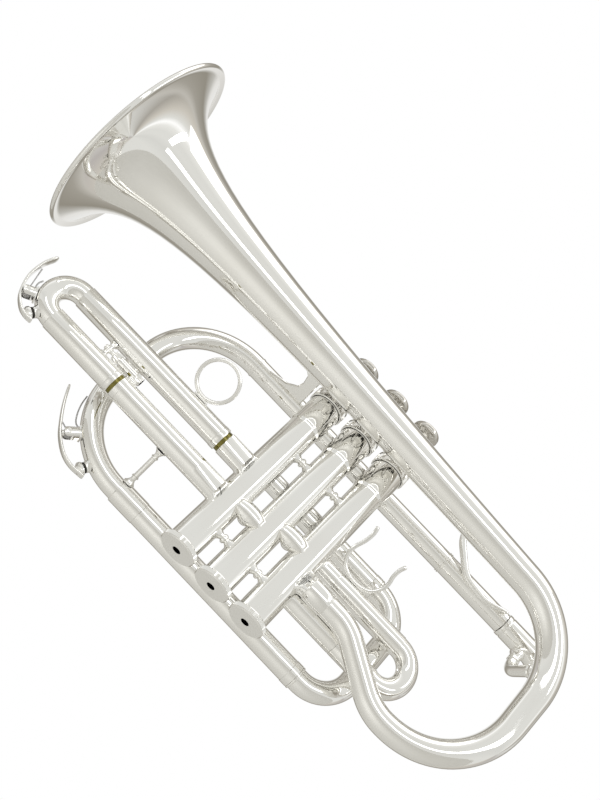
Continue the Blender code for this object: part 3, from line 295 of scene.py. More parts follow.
def frames(path, profiles, up):
    """Stations along a path, also at each profile break, with untwisted cross axes."""
    path = [np.asarray(p, dtype=float) for p in path]
    lengths = [0.0]
    for a, b in zip(path, path[1:]):
        lengths.append(lengths[-1] + np.linalg.norm(b - a))
    marks = set(round(s, 4) for s in lengths)
    for profile in profiles:
        if profile is not None and not np.isscalar(profile):
            marks.update(round(p[0], 4) for p in profile if 0.0 < p[0] < lengths[-1])
    directions = [unit(b - a) for a, b in zip(path, path[1:])]
    out = []
    side = None
    for s in sorted(marks):
        i = max(0, min(int(np.searchsorted(lengths, s + 1e-3) - 1), len(path) - 2))
        t = (s - lengths[i]) / (lengths[i + 1] - lengths[i])
        point = path[i] + (path[i + 1] - path[i]) * t
        tangent = directions[i]
        if i > 0 and abs(s - lengths[i]) < 1e-3:
            tangent = unit(directions[i - 1] + directions[i])
        ref = np.asarray(up, dtype=float) if side is None else side
        side = unit(ref - tangent * np.dot(ref, tangent))
        out.append((s, point, tangent, side, np.cross(tangent, side)))
    return out


def circle(sides):
    """Cosine and sine of evenly spaced angles."""
    return [(math.cos(2 * math.pi * k / sides), math.sin(2 * math.pi * k / sides)) for k in range(sides)]


def skin(rings, closed_ends=True):
    """Points and faces of a surface through rings of equal count."""
    n = len(rings[0])
    verts = [p for ring in rings for p in ring]
    faces = []
    for i in range(len(rings) - 1):
        for k in range(n):
            k2 = (k + 1) % n
            faces.append((i * n + k, i * n + k2, (i + 1) * n + k2, (i + 1) * n + k))
    if closed_ends:
        faces.append(tuple(range(n)))
        faces.append(tuple((len(rings) - 1) * n + k for k in range(n)))
    return verts, faces


def seat(ring, s, cut, y_axis=False):
    """Draw rings near a valve casing in until they lie on its round wall.

    `cut` is the valve's x, the wall radius, the length that eases in and how far
    to the side of the valve's axis the joint may reach.
    """
    if cut is None or s > cut[2]:
        return ring
    valve_x, radius, blend, half = cut
    ease = (1.0 - s / blend) ** 1.5
    moved = []
    for p in ring:
        if y_axis:
            wall = math.sqrt(max(radius ** 2 - (p[0] - valve_x) ** 2, 0.0))
            moved.append(np.array([p[0], wall * ease + STUB_REACH * (1 - ease) + s, p[2]]))
            continue
        limit = half + (1 - ease) * 8.0
        y = max(-limit, min(limit, p[1]))
        wall = math.sqrt(radius ** 2 - min(abs(y), half) ** 2)
        sign = 1.0 if p[0] > valve_x else -1.0
        moved.append(np.array([valve_x + sign * (wall * ease + STUB_REACH * (1 - ease) + s), y, p[2]]))
    return moved


def joint(valve, blend=6.0, half=7.1):
    """The `cut` that seats a tube's end on a valve's casing."""
    return (VALVE_X[valve], CASING_R - 0.05, blend, half)


def tube(name, path, outer, inner=None, sides=48, up=(0, 0, 1), cuts=(None, None), y_axis=False, **options):
    """Round tube whose radii vary with length; hollow when `inner` is given."""
    ring = circle(sides)
    walls = [[], []]
    stations = frames(path, (outer, inner), up)
    total = stations[-1][0]
    for s, point, _, side, cross in stations:
        for wall, profile in zip(walls, (outer, inner)):
            if profile is None:
                continue
            r = along(profile, s)
            row = [point + r * (u * side + v * cross) for u, v in ring]
            row = seat(row, s, cuts[0], y_axis=y_axis)
            wall.append(seat(row, total - s, cuts[1], y_axis=y_axis))
    if inner is None:
        return make(name, *skin(walls[0]), **options)
    return make(name, *skin(walls[0] + walls[1][::-1] + [walls[0][0]], closed_ends=False), **options)


def lathe_mesh(profile, base, axis, sides, closed=True):
    """Revolve (radius, height[, knurl depth]) about an axis; radius 0 is a pole."""
    axis = unit(axis)
    ref = np.array([0.0, 0.0, 1.0]) if abs(axis[2]) < 0.9 else np.array([1.0, 0.0, 0.0])
    u = unit(ref - axis * np.dot(ref, axis))
    v = np.cross(axis, u)
    base = np.asarray(base, dtype=float)
    verts = []
    rows = []
    for entry in profile:
        r, h = entry[0], entry[1]
        knurl = entry[2] if len(entry) > 2 else 0.0
        centre = base + axis * h
        if r < 1e-6:
            rows.append([len(verts)] * sides)
            verts.append(centre)
            continue
        rows.append([len(verts) + k for k in range(sides)])
        for k, (cu, cv) in enumerate(circle(sides)):
            rr = r - knurl * (k % 2)
            verts.append(centre + rr * (cu * u + cv * v))
    faces = []
    pairs = list(zip(rows, rows[1:]))
    if closed:
        pairs.append((rows[-1], rows[0]))
    for a, b in pairs:
        for k in range(sides):
            k2 = (k + 1) % sides
            face = []
            for index in (a[k], a[k2], b[k2], b[k]):
                if index not in face:
                    face.append(index)
            if len(face) >= 3:
                faces.append(tuple(face))
    return verts, faces


def lathe(name, profile, base, axis=(0, 0, 1), sides=72, closed=True, **options):
    return make(name, *lathe_mesh(profile, base, axis, sides, closed), **options)


def join_meshes(parts):
    verts, faces = [], []
    for v, f in parts:
        offset = len(verts)
        verts.extend(v)
        faces.extend(tuple(i + offset for i in face) for face in f)
    return verts, faces


def round_edge(points, radius=0.25, steps=3):
    """Round the corners of a closed (radius, height) outline, leaving poles alone."""
    out = []
    n = len(points)
    for i in range(n):
        p = np.array(points[i][:2], dtype=float)
        extra = tuple(points[i][2:])
        a = np.array(points[i - 1][:2], dtype=float)
        b = np.array(points[(i + 1) % n][:2], dtype=float)
        la, lb = np.linalg.norm(a - p), np.linalg.norm(b - p)
        if p[0] < 1e-6 or la < 1e-6 or lb < 1e-6:
            out.append(tuple(p) + extra)
            continue
        cut = min(radius, la * 0.4, lb * 0.4)
        pa = p + (a - p) / la * cut
        pb = p + (b - p) / lb * cut
        for k in range(steps + 1):
            t = k / steps
            q = (1 - t) ** 2 * pa + 2 * t * (1 - t) * p + t ** 2 * pb
            out.append(tuple(q) + extra)
    return out


def strip(name, path, widths, thickness, up, corner=0.4, **options):
    """Bar with a rounded rectangular section; widths run along `up`."""
    rings = []
    for s, point, _, side, cross in frames(path, (widths, thickness), up):
        w = along(widths, s) / 2.0
        t = along(thickness, s) / 2.0
        c = min(w, t) * corner * 2
        row = []
        for cw, ct, a0 in ((w - c, t - c, 0), (c - w, t - c, 90), (c - w, c - t, 180), (w - c, c - t, 270)):
            for k in range(5):
                a = math.radians(a0 + 22.5 * k)
                row.append(point + (cw + c * math.cos(a)) * side + (ct + c * math.sin(a)) * cross)
        rings.append(row)
    return make(name, *skin(rings), **options)


def ring_band(s0, s1, high, low_r, edge=0.25):
    """Profile points of a raised band with eased edges."""
    return [(s0 - 0.02, low_r), (s0, high - edge), (s0 + edge, high), (s1 - edge, high),
            (s1, high - edge), (s1 + 0.02, low_r)]


# ================================================================ valves
def build_valve(valve):
    """Casing, caps, button, pearl and stem; the hidden CAD pieces get materials."""
    x = VALVE_X[valve]
    base = (x, 0, 0)
    casing = [(CASING_BORE_R, 1.5), (CASING_R, 1.5), (CASING_R, 101.6), (9.25, 102.2), (9.7, 103.6),
              (9.7, 126.0), (CASING_BORE_R, 126.0)]
    lathe(f"casing_skin_{valve}", round_edge(casing, 0.3), base, sides=96, replaces=(f"casing_{valve}",))
    cap = [(2.5, 0.0), (2.75, 0.0), (10.2, 0.0), (10.75, 0.35), (10.95, 0.7)]
    cap += [(11.0, 0.75, 0.32), (11.0, 3.0, 0.32), (10.9, 3.05), (10.4, 3.6), (9.15, 3.6), (9.15, 1.2),
            (2.5, 1.2)]
    lathe(f"bottom_cap_skin_{valve}", cap, base, sides=144, sharp=24.0, replaces=(f"bottom_cap_{valve}",))
    top = [(10.0, 122.0), (10.6, 122.1), (10.78, 122.35), (10.8, 122.4, 0.3), (10.8, 126.6, 0.3),
           (10.6, 126.65),
           (10.3, 126.9), (10.3, 127.4), (10.7, 127.7), (10.8, 128.2), (10.6, 128.9), (9.4, 130.1),
           (7.0, 131.2),
           (5.2, 132.1), (4.75, 132.9), (4.5, 133.4), (4.2, 133.5), (2.9, 133.5), (2.8, 133.3),
           (2.8, 126.3), (10.0, 126.3)]
    lathe(f"top_cap_skin_{valve}", top, base, sides=144, sharp=24.0, replaces=(f"top_cap_{valve}",))
    body = f"piston_{valve}"
    button = [(2.5, 150.3), (3.3, 150.3), (3.5, 150.6), (3.7, 153.4), (4.4, 155.0), (5.8, 156.6),
              (7.4, 157.7),
              (8.3, 158.5), (8.6, 159.2), (8.6, 160.6), (8.35, 161.4), (7.7, 162.0), (6.95, 162.0),
              (6.7, 161.6),
              (6.7, 160.4), (0.0, 160.4), (0.0, 152.8), (2.5, 152.8)]
    # The button takes the darker copy of the silver, which is painted shade.
    lathe(f"button_skin_{valve}", round_edge(button, 0.2, 2), base, body=body,
          replaces=(f"button_{valve}",), sharp=40.0,
          material=BUTTON_PAINTED_SHADE)
    pearl = [(0.0, 160.5), (6.6, 160.5), (6.6, 161.2), (6.2, 161.5), (5.0, 161.72), (3.0, 161.9),
             (0.0, 162.0)]
    lathe(f"pearl_skin_{valve}", pearl, base, body=body, closed=False, replaces=(f"pearl_{valve}",),
          material=PEARL, slot="pearl")
    lathe(f"stem_skin_{valve}", [(2.15, 124.4), (2.24, 124.5), (2.24, 151.9), (2.15, 152.0)], base,
          sides=40,
          body=body, slot="piston_alloy")
    for node, mat in ((f"piston_{valve}", STEEL), (f"spring_{valve}", WIRE),
                      (f"valve_guide_{valve}", BRASS)):
        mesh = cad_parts[node].data
        mesh.materials.clear()
        mesh.materials.append(mat)


def build_between_valves():
    """Bulbous air knuckles, and turned braces below and above them."""
    for a, b, z in ((1, 2, 48.2), (2, 3, 40.1)):
        x0, x1 = VALVE_X[b], VALVE_X[a]
        mid = (x1 - x0 - 2 * STUB_REACH) / 2
        path = [(x0 + STUB_REACH + t * mid, KNUCKLE_Y, z) for t in np.linspace(0, 2, 17)]
        half = [(0, 4.5), (0.25, 4.9), (0.6, 5.4), (1.0, 5.8), (1.5, 6.05), (mid, 6.2)]
        outer = half + [(2 * mid - s, r) for s, r in half[-2::-1]]
        tube(f"knuckle_skin_{a}{b}", path, outer, cuts=(joint(b, 2.4, 8.2), joint(a, 2.4, 8.2)),
             replaces=(f"knuckle_{a}{b}",))
        turned = [(0, 3.2), (0.5, 2.4), (1.0, 1.9), (1.5, 1.75), (1.7, 2.2), (2.0, 2.55), (mid, 2.7)]
        turned += [(2 * mid - s, r) for s, r in turned[-2::-1]]
        for label, height, node in (("lower", 22.0, (f"casing_brace_{a}{b}",)), ("upper", 86.0, ())):
            path = [(x0 + STUB_REACH + t * mid, -2.5, height) for t in np.linspace(0, 2, 17)]
            tube(f"{label}_brace_skin_{a}{b}", path, turned, sides=32, cuts=(joint(b, 2.4), joint(a, 2.4)),
                 replaces=node)


# ================================================================ bell, crook, pipes
def bell_radius(s):
    """Outer radius of the flare at a distance from its rim."""
    return BELL_R * (FLARE_OFFSET / (s + FLARE_OFFSET)) ** FLARE_POWER


def build_bell():
    """Flared horn of thin sheet with a rolled bead on its rim."""
    marks = [0.0, 0.5, 1.1, 1.9, 2.9, 4.1, 5.6, 7.4, 9.5, 12.0, 15.0, 18.5, 22.5, 27.0, 32.0, 38.0, 45.0,
             53.0,
             62.0, 72.0, 84.0, 98.0, 114.0, 132.0, 152.0, 175.0, 200.0, 226.0, 252.0, 280.0, BELL_LENGTH]
    outer = [(bell_radius(s), s) for s in marks]
    inner = []
    for i, (r, s) in enumerate(outer):
        slope = -FLARE_POWER * r / (s + FLARE_OFFSET)
        thick = SHEET / math.hypot(1.0, slope)
        inner.append((r - thick, s + slope * thick if i not in (0, len(outer) - 1) else s))
    bead_r = BELL_R + 0.5
    bead = [(bead_r + 1.5 * math.cos(a), 1.5 * math.sin(a))
            for a in (math.radians(d) for d in range(80, -76, -10))]
    front = [(bead_r - 0.4, -1.5), (bead_r - 0.9, -1.4), (BELL_R - 0.8, -1.0), (BELL_R - 1.1, -0.6),
             (BELL_R - 1.2, -0.2)]
    profile = outer[::-1][:-1] + bead + front + inner[1:]
    lathe("bell_skin", profile, BELL_RIM, BELL_AXIS, 160, replaces=("bell",), sharp=50.0)


def crook_path():
    """From the first valve down, round the rear and forward to the bell."""
    end = BELL_RIM + BELL_AXIS * BELL_LENGTH
    top_z = end[2] - math.tan(BELL_TILT) * (157.5 - end[0])
    corners = [(VALVE_X[1] + STUB_REACH, -5.4, 36.5), (63.0, -5.4, 36.5), (99.0, -5.4, 13.8),
               (157.5, -8.5, 13.8),
               (157.5, BELL_RIM[1], top_z), tuple(end)]
    return rounded_path(corners, (30.0, 30.0, 49.0, 45.0), 3.0)


def build_crook():
    path = crook_path()
    total = path_length(path)
    tail = bell_radius(BELL_LENGTH)
    outer = [(0.0, 7.1), (0.5, 6.6), (1.2, 6.45)] + ring_band(2.6, 14.2, 7.0, 6.6, 0.3)
    outer += [(56.0, 6.6), (total * 0.5, 7.5), (total, tail)]
    inner = [(0.0, 5.2), (14.6, 5.7), (56.0, 5.8), (total * 0.5, 6.7), (total, tail - SHEET)]
    tube("crook_skin", path, outer, inner, sides=56, up=(0, 1, 0), cuts=(joint(1), None),
         replaces=("crook",), sharp=50.0)


def build_leadpipe():
    """Leadpipe, mouthpiece receiver and the large bow at the front."""
    y, z = LEADPIPE_Y, LEADPIPE_Z
    start, end = -67.5, 129.5
    ring = 83.0 - start
    outer = [(0, LEADPIPE_R)]
    for s0, s1 in ((ring - 1.0, ring - 0.2), (ring + 0.2, ring + 1.0)):
        outer += ring_band(s0, s1, 6.75, LEADPIPE_R, 0.2)
    outer += [(end - start - 8.0, LEADPIPE_R), (end - start, 6.35)]
    tube("leadpipe_skin", [(start, y, z), (end, y, z)], outer, PIPE_BORE_R, replaces=("leadpipe",))
    profile = [(5.4, 0), (6.2, -0.9), (6.9, -0.6), (7.0, 0.4), (7.0, 1.6), (6.75, 2.0), (6.75, 2.6),
               (7.0, 3.0), (7.0, 21.0), (7.25, 22.6),
               (7.6, 24.0), (7.6, 33.6), (7.85, 34.3), (8.3, 35.0), (8.3, 37.4), (8.1, 38.0), (7.6, 38.2),
               (5.8, 38.2), (5.5, 37.6), (4.9, 16)]
    lathe("receiver_skin", round_edge(profile, 0.2, 2), (end + 1.2, y, z), (1, 0, 0), sharp=40.0,
          replaces=("mouthpiece_receiver",))
    corners = [(start - 0.02, y, z), (FRONT_BOW_X, y, z), (FRONT_BOW_X, PIPE_Y, BOTTOM_Z),
               (-68.02, PIPE_Y, BOTTOM_Z)]
    path = rounded_path(corners, (FRONT_BEND, FRONT_BEND))
    total = path_length(path)
    outer = [(0, 6.55), (0.4, 6.6), (1.2, 6.6), (1.4, 6.3), (total, 6.3)]
    tube("front_bow_skin", path, outer, PIPE_BORE_R, up=(0, 1, 0), replaces=("front_bow",), sharp=50.0)


def build_tuning_slide():
    """Both outer sleeves and the bow with its two inner legs."""
    x0, x1 = -68.0, 63.5
    length = x1 - x0
    outer = [(0, 6.75), (0.25, 7.0), (16.6, 7.0), (16.9, 6.75), (17.3, SLEEVE_R)]
    outer += ring_band(length - 4.6, length - 0.01, FERRULE_R, SLEEVE_R)
    tube("bottom_pipe_skin", [(x0, PIPE_Y, BOTTOM_Z), (x1, PIPE_Y, BOTTOM_Z)], outer, BORE_R,
         replaces=("bottom_pipe",))
    path = rounded_path([(64.5, PIPE_Y, TUNING_Z), (VALVE_X[3], PIPE_Y, TUNING_Z),
                         (VALVE_X[3], 9.0, TUNING_Z)], (8.4,))
    total = path_length(path)
    outer = ring_band(0.01, 4.6, FERRULE_R, SLEEVE_R)[1:]
    outer += [(58.0, SLEEVE_R), (58.6, 6.35), (58.9, LEG_R), (total - 1.4, LEG_R), (total - 0.5, 6.6),
              (total, 7.2)]
    inner = [(0, BORE_R), (57.0, BORE_R), (58.0, LEG_BORE_R), (total, LEG_BORE_R)]
    tube("tuning_sleeve_skin", path, outer, inner, replaces=("tuning_upper_sleeve",))
    leg = 55.0
    low, high = x1 - leg, 64.5 - leg
    path = rounded_path([(low, PIPE_Y, BOTTOM_Z), (TUNING_BOW_X, PIPE_Y, BOTTOM_Z),
                         (TUNING_BOW_X, PIPE_Y, TUNING_Z),
                         (high, PIPE_Y, TUNING_Z)], (TUNING_BEND - 0.01, TUNING_BEND))
    total = path_length(path)
    end = [(0, LEG_R), (55.06, LEG_R), (55.08, FERRULE_R - 0.2), (55.3, FERRULE_R), (56.1, FERRULE_R),
           (56.3, 6.8), (56.5, 6.35)]
    outer = end + [(total - s, r) for s, r in end[::-1]]
    tube("main_slide_skin", path, outer, LEG_BORE_R, up=(0, 1, 0), body="main_slide",
         replaces=("main_slide",), sharp=50.0)


# ================================================================ valve slides
def build_third_slide():
    """Upper leg slides over a fixed tube, lower leg inside a fixed sleeve."""
    y = THIRD_Y
    x = VALVE_X[3]
    front = THIRD_MOUTH_X - 42.0
    collar = -47.6 - front
    total = x - STUB_REACH - front
    outer = [(0, LEG_R), (collar, LEG_R), (collar + 0.02, SLEEVE_R - 0.2), (collar + 0.22, SLEEVE_R),
             (total - 1.4, SLEEVE_R), (total - 0.5, 6.95), (total, 7.3)]
    tube("third_upper_stub_skin", [(front, y, THIRD_HI), (x - STUB_REACH, y, THIRD_HI)], outer, LEG_BORE_R,
               cuts=(None, joint(3)), replaces=("third_upper_stub",))
    start = -106.0
    total = x - STUB_REACH - start
    outer = ring_band(0.01, 3.4, BAND_R, SLEEVE_R, 0.2)[1:] + [(total - 1.4, SLEEVE_R), (total - 0.5, 6.95),
                                                               (total, 7.3)]
    inner = [(0, BORE_R), (total - 14.0, BORE_R), (total - 13.0, 5.0), (total, 4.8)]
    tube("third_lower_sleeve_skin", [(start, y, THIRD_LO), (x - STUB_REACH, y, THIRD_LO)], outer, inner,
         cuts=(None, joint(3)), replaces=("third_lower_sleeve",))
    bend = (THIRD_HI - THIRD_LO) / 2.0
    tip = THIRD_BOW_X - bend
    lower_end = start + 34.0
    path = rounded_path([(THIRD_MOUTH_X, y, THIRD_HI), (tip, y, THIRD_HI), (tip, y, THIRD_LO),
                         (lower_end, y, THIRD_LO)],
                        (bend - 0.005, bend - 0.005))
    total = path_length(path)
    upper = THIRD_MOUTH_X - THIRD_BOW_X
    inside = lower_end - start + 2.1
    outer = ring_band(0.01, 3.6, BAND_R, SLEEVE_R, 0.2)[1:]
    outer += [(upper - 1.2, SLEEVE_R), (upper - 1.0, 6.6), (upper - 0.9, 6.3), (total - inside - 46.1, 6.3),
              (total - inside - 46.0, 6.6), (total - inside - 45.8, SLEEVE_R)]
    outer += ring_band(total - inside - 3.4, total - inside - 0.02, BAND_R, SLEEVE_R, 0.2)[:-1]
    outer += [(total - inside, LEG_R), (total, LEG_R)]
    inner = [(0, BORE_R), (46.0, BORE_R), (47.0, LEG_BORE_R), (total, LEG_BORE_R)]
    tube("third_slide_skin", path, outer, inner, up=(0, 1, 0), body="third_slide",
         replaces=("third_slide",), sharp=50.0)
    # The narrow stretches of the inner legs that show where the slide is drawn, coloured dark olive:
    # painted shade for the recess between a sleeve's mouth and the next collar.
    for label, x0, x1, z, body in (("upper", -49.9, -47.55, THIRD_HI, ROOT),
                                   ("lower", -108.2, -105.9, THIRD_LO, "third_slide")):
        tube(f"third_{label}_leg_band", [(x0, y, z), (x1, y, z)], 6.13, 6.0, body=body, material=LEG_GAP_SHADE)


def build_finger_ring():
    """Wire ring that leans to the player's left, on a soldered foot."""
    up = np.array([0.0, -math.sin(RING_LEAN), math.cos(RING_LEAN)])
    across = np.cross(np.array([1.0, 0, 0]), up)
    foot = np.array([RING_X, THIRD_Y, THIRD_HI]) + up * (SLEEVE_R + 0.3)
    centre = foot + up * (RING_R + RING_WIRE_R + 0.3)
    steps = 96
    rings = []
    for k in range(steps):
        a = 2 * math.pi * k / steps
        out = math.cos(a) * np.array([1.0, 0, 0]) + math.sin(a) * up
        rings.append([centre + out * RING_R + RING_WIRE_R * (u * out + v * across) for u, v in circle(20)])
    make("third_ring_skin", *skin(rings + [rings[0]], closed_ends=False), body="third_slide",
         replaces=("third_ring",))
    path = [foot + np.array([t, 0, 0]) + up * 0.25 for t in (-4.6, -3.2, 0.0, 3.2, 4.6)]
    strip("third_ring_foot", path, [(0, 1.6), (1.4, 3.0), (7.8, 3.0), (9.2, 1.6)],
          [(0, 0.7), (1.4, 1.0), (7.8, 1.0), (9.2, 0.7)],
          up=across, body="third_slide")


def build_third_stop():
    """Fixed barrel and the headed rod that draws through it."""
    y = THIRD_Y
    z = (THIRD_HI + THIRD_LO) / 2.0
    front = -119.5
    profile = [(1.5, 0.0), (2.5, 0.0), (2.75, 0.3), (2.9, 0.5, 0.25), (2.9, 4.0, 0.25), (2.55, 4.2),
               (2.55, 15.6),
               (2.9, 15.8, 0.25), (2.9, 19.4, 0.25), (2.6, 20.0), (2.35, 20.0), (2.35, 1.6), (1.5, 1.6)]
    lathe("third_stop_barrel_skin", profile, (front, y, z), (1, 0, 0), sides=48, sharp=24.0,
          replaces=("third_stop_barrel",))
    post_x = front - 4.2
    low = THIRD_LO + 6.3 + 0.25
    high = THIRD_HI - SLEEVE_R - 0.05
    post = [(0.0, low), (2.6, low), (2.6, low + 0.6), (1.7, low + 1.3), (1.5, low + 2.0), (1.5, high - 2.0),
            (1.7, high - 1.3), (2.6, high - 0.6), (2.6, high), (0.0, high)]
    rod = [(0.0, -2.6), (1.1, -2.5), (1.5, -2.0), (1.5, 1.9), (1.2, 2.2), (1.2, 19.0), (2.0, 19.1),
           (2.1, 19.3), (2.1, 20.6), (1.9, 20.8), (0.0, 20.8)]
    mesh = join_meshes([lathe_mesh(post, (post_x, y, 0), (0, 0, 1), 32, closed=False),
                        lathe_mesh(rod, (post_x, y, z), (1, 0, 0), 32, closed=False)])
    make("third_stop_rod_skin", *mesh, body="third_slide", replaces=("third_stop_rod",))
    saddle = [(front + t, y, THIRD_LO + SLEEVE_R + 0.9 + 0.35) for t in (14.0, 15.2, 17.6, 18.8)]
    strip("stop_barrel_foot", saddle, 3.6, [(0, 1.2), (1.2, 2.6), (3.6, 2.6), (4.8, 1.2)], up=(0, 1, 0))


def build_first_slide():
    """First slide with its thumb saddle of bent wire."""
    y = FIRST_Y
    x0 = VALVE_X[1] + STUB_REACH
    collar = FIRST_MOUTH_X - 0.3 - x0
    rear = FIRST_MOUTH_X + 34.0
    outer = [(0, 6.9), (0.5, 6.5), (1.3, FIRST_SLEEVE_R), (collar - 0.25, FIRST_SLEEVE_R),
             (collar - 0.02, 6.1),
             (collar, FIRST_R), (rear - x0, FIRST_R)]
    tube("first_upper_stub_skin", [(x0, y, FIRST_HI), (rear, y, FIRST_HI)], outer, 4.7,
         cuts=(joint(1), None),
         replaces=("first_upper_stub",))
    end = 66.0
    total = end - x0
    outer = [(0, 6.9), (0.5, 6.5), (1.3, FIRST_SLEEVE_R), (total, FIRST_SLEEVE_R)]
    inner = [(0, 4.7), (3.0, FIRST_R + 0.08), (total, FIRST_R + 0.08)]
    tube("first_lower_sleeve_skin", [(x0, y, FIRST_LO), (end, y, FIRST_LO)], outer, inner,
         cuts=(joint(1), None),
         replaces=("first_lower_sleeve",))
    bend = (FIRST_HI - FIRST_LO) / 2.0
    tip = FIRST_BOW_X + bend
    path = rounded_path([(FIRST_MOUTH_X, y, FIRST_HI), (tip, y, FIRST_HI), (tip, y, FIRST_LO),
                         (end - 27.0, y, FIRST_LO)],
                        (bend - 0.005, bend - 0.005))
    total = path_length(path)
    upper = FIRST_BOW_X - FIRST_MOUTH_X
    inside = 27.3
    outer = [(0, FIRST_SLEEVE_R - 0.15), (0.2, FIRST_SLEEVE_R), (upper - 1.1, FIRST_SLEEVE_R),
             (upper - 0.9, 5.95),
             (total - inside - 25.0, 5.95), (total - inside - 24.8, FIRST_SLEEVE_R),
             (total - inside - 0.2, FIRST_SLEEVE_R), (total - inside - 0.02, 6.1),
             (total - inside, FIRST_R), (total, FIRST_R)]
    inner = [(0, FIRST_R + 0.08), (36.0, FIRST_R + 0.08), (37.0, 5.0), (total, 5.0)]
    tube("first_slide_skin", path, outer, inner, up=(0, 1, 0), body="first_slide",
         replaces=("first_slide",), sharp=50.0)
    foot = np.array([51.5, y - 6.0, FIRST_HI + 4.6])
    lean = unit((0.0, -0.45, 0.89))
    across = np.array([1.0, 0.0, 0.0])
    arm = [foot - across * 11.9 + lean * 29.0, foot - across * 10.9 + lean * 24.5,
           foot - across * 11.4 + lean * 19.0,
           foot - across * 13.0 + lean * 13.0, foot - across * 12.9 + lean * 8.0,
           foot - across * 9.2 + lean * 2.4,
           foot - across * 3.2 + lean * 0.1, foot + across * 3.2 + lean * 0.1,
           foot + across * 9.0 + lean * 2.4,
           foot + across * 12.6 + lean * 7.6, foot + across * 13.2 + lean * 12.0,
           foot + across * 12.2 + lean * 16.5,
           foot + across * 12.3 + lean * 21.0, foot + across * 13.6 + lean * 25.0]
    saddle = smooth_path(arm, 6)
    total = path_length(saddle)
    tube("thumb_saddle_skin", saddle, [(0, 0.5), (0.25, 0.95), (0.8, 1.15), (total - 0.8, 1.15),
                                       (total - 0.25, 0.95), (total, 0.5)],
         sides=24, up=(0, 1, 0), body="first_slide", replaces=("thumb_saddle",), sharp=50.0)


def build_second_slide():
    """Short slide that points to the player's right."""
    for name, z in (("upper", SECOND_HI), ("lower", SECOND_LO)):
        outer = [(0, 6.9), (0.5, 6.3), (1.3, 5.9), (6.0, 5.8), (6.2, 6.5), (6.5, SLEEVE_R)]
        outer += ring_band(20.7, 24.29, BAND_R, SLEEVE_R, 0.2)[:-1]
        inner = [(0, 5.0), (5.7, 5.0), (6.7, BORE_R), (24.3, BORE_R)]
        tube(f"second_{name}_sleeve_skin", [(0, STUB_REACH, z), (0, 34.0, z)], outer, inner, y_axis=True,
             cuts=(joint(2, 2.4), None), replaces=(f"second_{name}_sleeve",))
    bend = (SECOND_HI - SECOND_LO) / 2.0
    tip = 40.0 + bend
    path = rounded_path([(0, 17.0, SECOND_HI), (0, tip, SECOND_HI), (0, tip, SECOND_LO),
                         (0, 17.0, SECOND_LO)],
                        (bend - 0.005, bend - 0.005))
    total = path_length(path)
    end = [(0, LEG_R), (17.05, LEG_R), (17.1, SLEEVE_R - 0.2), (17.3, SLEEVE_R), (22.4, SLEEVE_R),
           (22.7, 6.5), (22.9, 6.2)]
    outer = end + [(total - s, r) for s, r in end[::-1]]
    tube("second_slide_skin", path, outer, LEG_BORE_R, up=(1, 0, 0), body="second_slide",
         replaces=("second_slide",), sharp=50.0)


# ================================================================ braces and hook
def flanged_rod(name, start, end, rod_r, flange_r, **options):
    """Turned brace with a flange at each end."""
    start, end = np.asarray(start, float), np.asarray(end, float)
    length = np.linalg.norm(end - start)
    half = [(0.0, 0.0), (flange_r, 0.0), (flange_r, 0.5), (flange_r * 0.8, 1.1), (rod_r * 1.35, 1.9),
            (rod_r, 3.0),
            (rod_r, 4.2), (rod_r * 1.35, 4.6), (rod_r * 1.35, 5.2), (rod_r, 5.6)]
    profile = half + [(r, length - h) for r, h in half[::-1]]
    return lathe(name, profile, start, end - start, 40, closed=False, **options)


def build_braces():
    """Pipe brace, receiver brace and the waisted plate by the bell."""
    a = np.array([-66.5, THIRD_Y, THIRD_LO])
    b = np.array([-66.5, PIPE_Y, BOTTOM_Z])
    d = unit(b - a)
    flanged_rod("pipe_brace_skin", a + d * (SLEEVE_R - 0.1), b - d * (FERRULE_R - 0.1), 1.5, 3.2,
                replaces=("pipe_brace",))
    path = rounded_path([(147.0, LEADPIPE_Y, LEADPIPE_Z - 6.9), (147.0, LEADPIPE_Y - 3.0, 99.0),
                         (152.5, BELL_RIM[1] + 12.9, 96.5)], (9.0,), 5.0)
    total = path_length(path)
    radii = [(0.0, 4.4), (0.8, 4.4), (1.6, 4.0), (3.0, 3.3), (4.4, 3.1), (5.0, 3.6), (6.4, 3.6), (7.0, 3.1),
             (total * 0.55, 3.2), (total - 7.4, 3.2), (total - 6.8, 3.8), (total - 5.2, 3.8),
             (total - 4.6, 3.3),
             (total - 3.0, 4.1), (total - 1.6, 4.6), (total - 0.8, 4.5), (total - 0.25, 4.0), (total, 3.2)]
    tube("receiver_brace_skin", path, radii, sides=40, up=(1, 0, 0), replaces=("receiver_brace",))
    y_pipe = LEADPIPE_Y - LEADPIPE_R + 0.1
    y_bell = BELL_RIM[1] + bell_radius(-38.0 - BELL_RIM[0]) - 0.1
    z_pipe, z_bell = LEADPIPE_Z + 0.5, 127.5
    stops = [0.0, 0.12, 0.3, 0.5, 0.75, 0.9, 1.0]
    edge = [-62.0, -50.0, -44.5, -43.5, -44.5, -49.0, -56.0]
    rings = []
    for t in np.linspace(0, 1, 25):
        x0 = float(np.interp(t, stops, edge))
        y = y_pipe + (y_bell - y_pipe) * t
        z = z_pipe + (z_bell - z_pipe) * t
        rings.append([(x0, y, z), (x0 + 0.5, y, z + 0.8), (-36.9, y, z + 0.8), (-36.4, y, z),
                      (-36.9, y, z - 0.8), (x0 + 0.5, y, z - 0.8)])
    make("bell_brace_skin", *skin(rings), replaces=("bell_brace",))


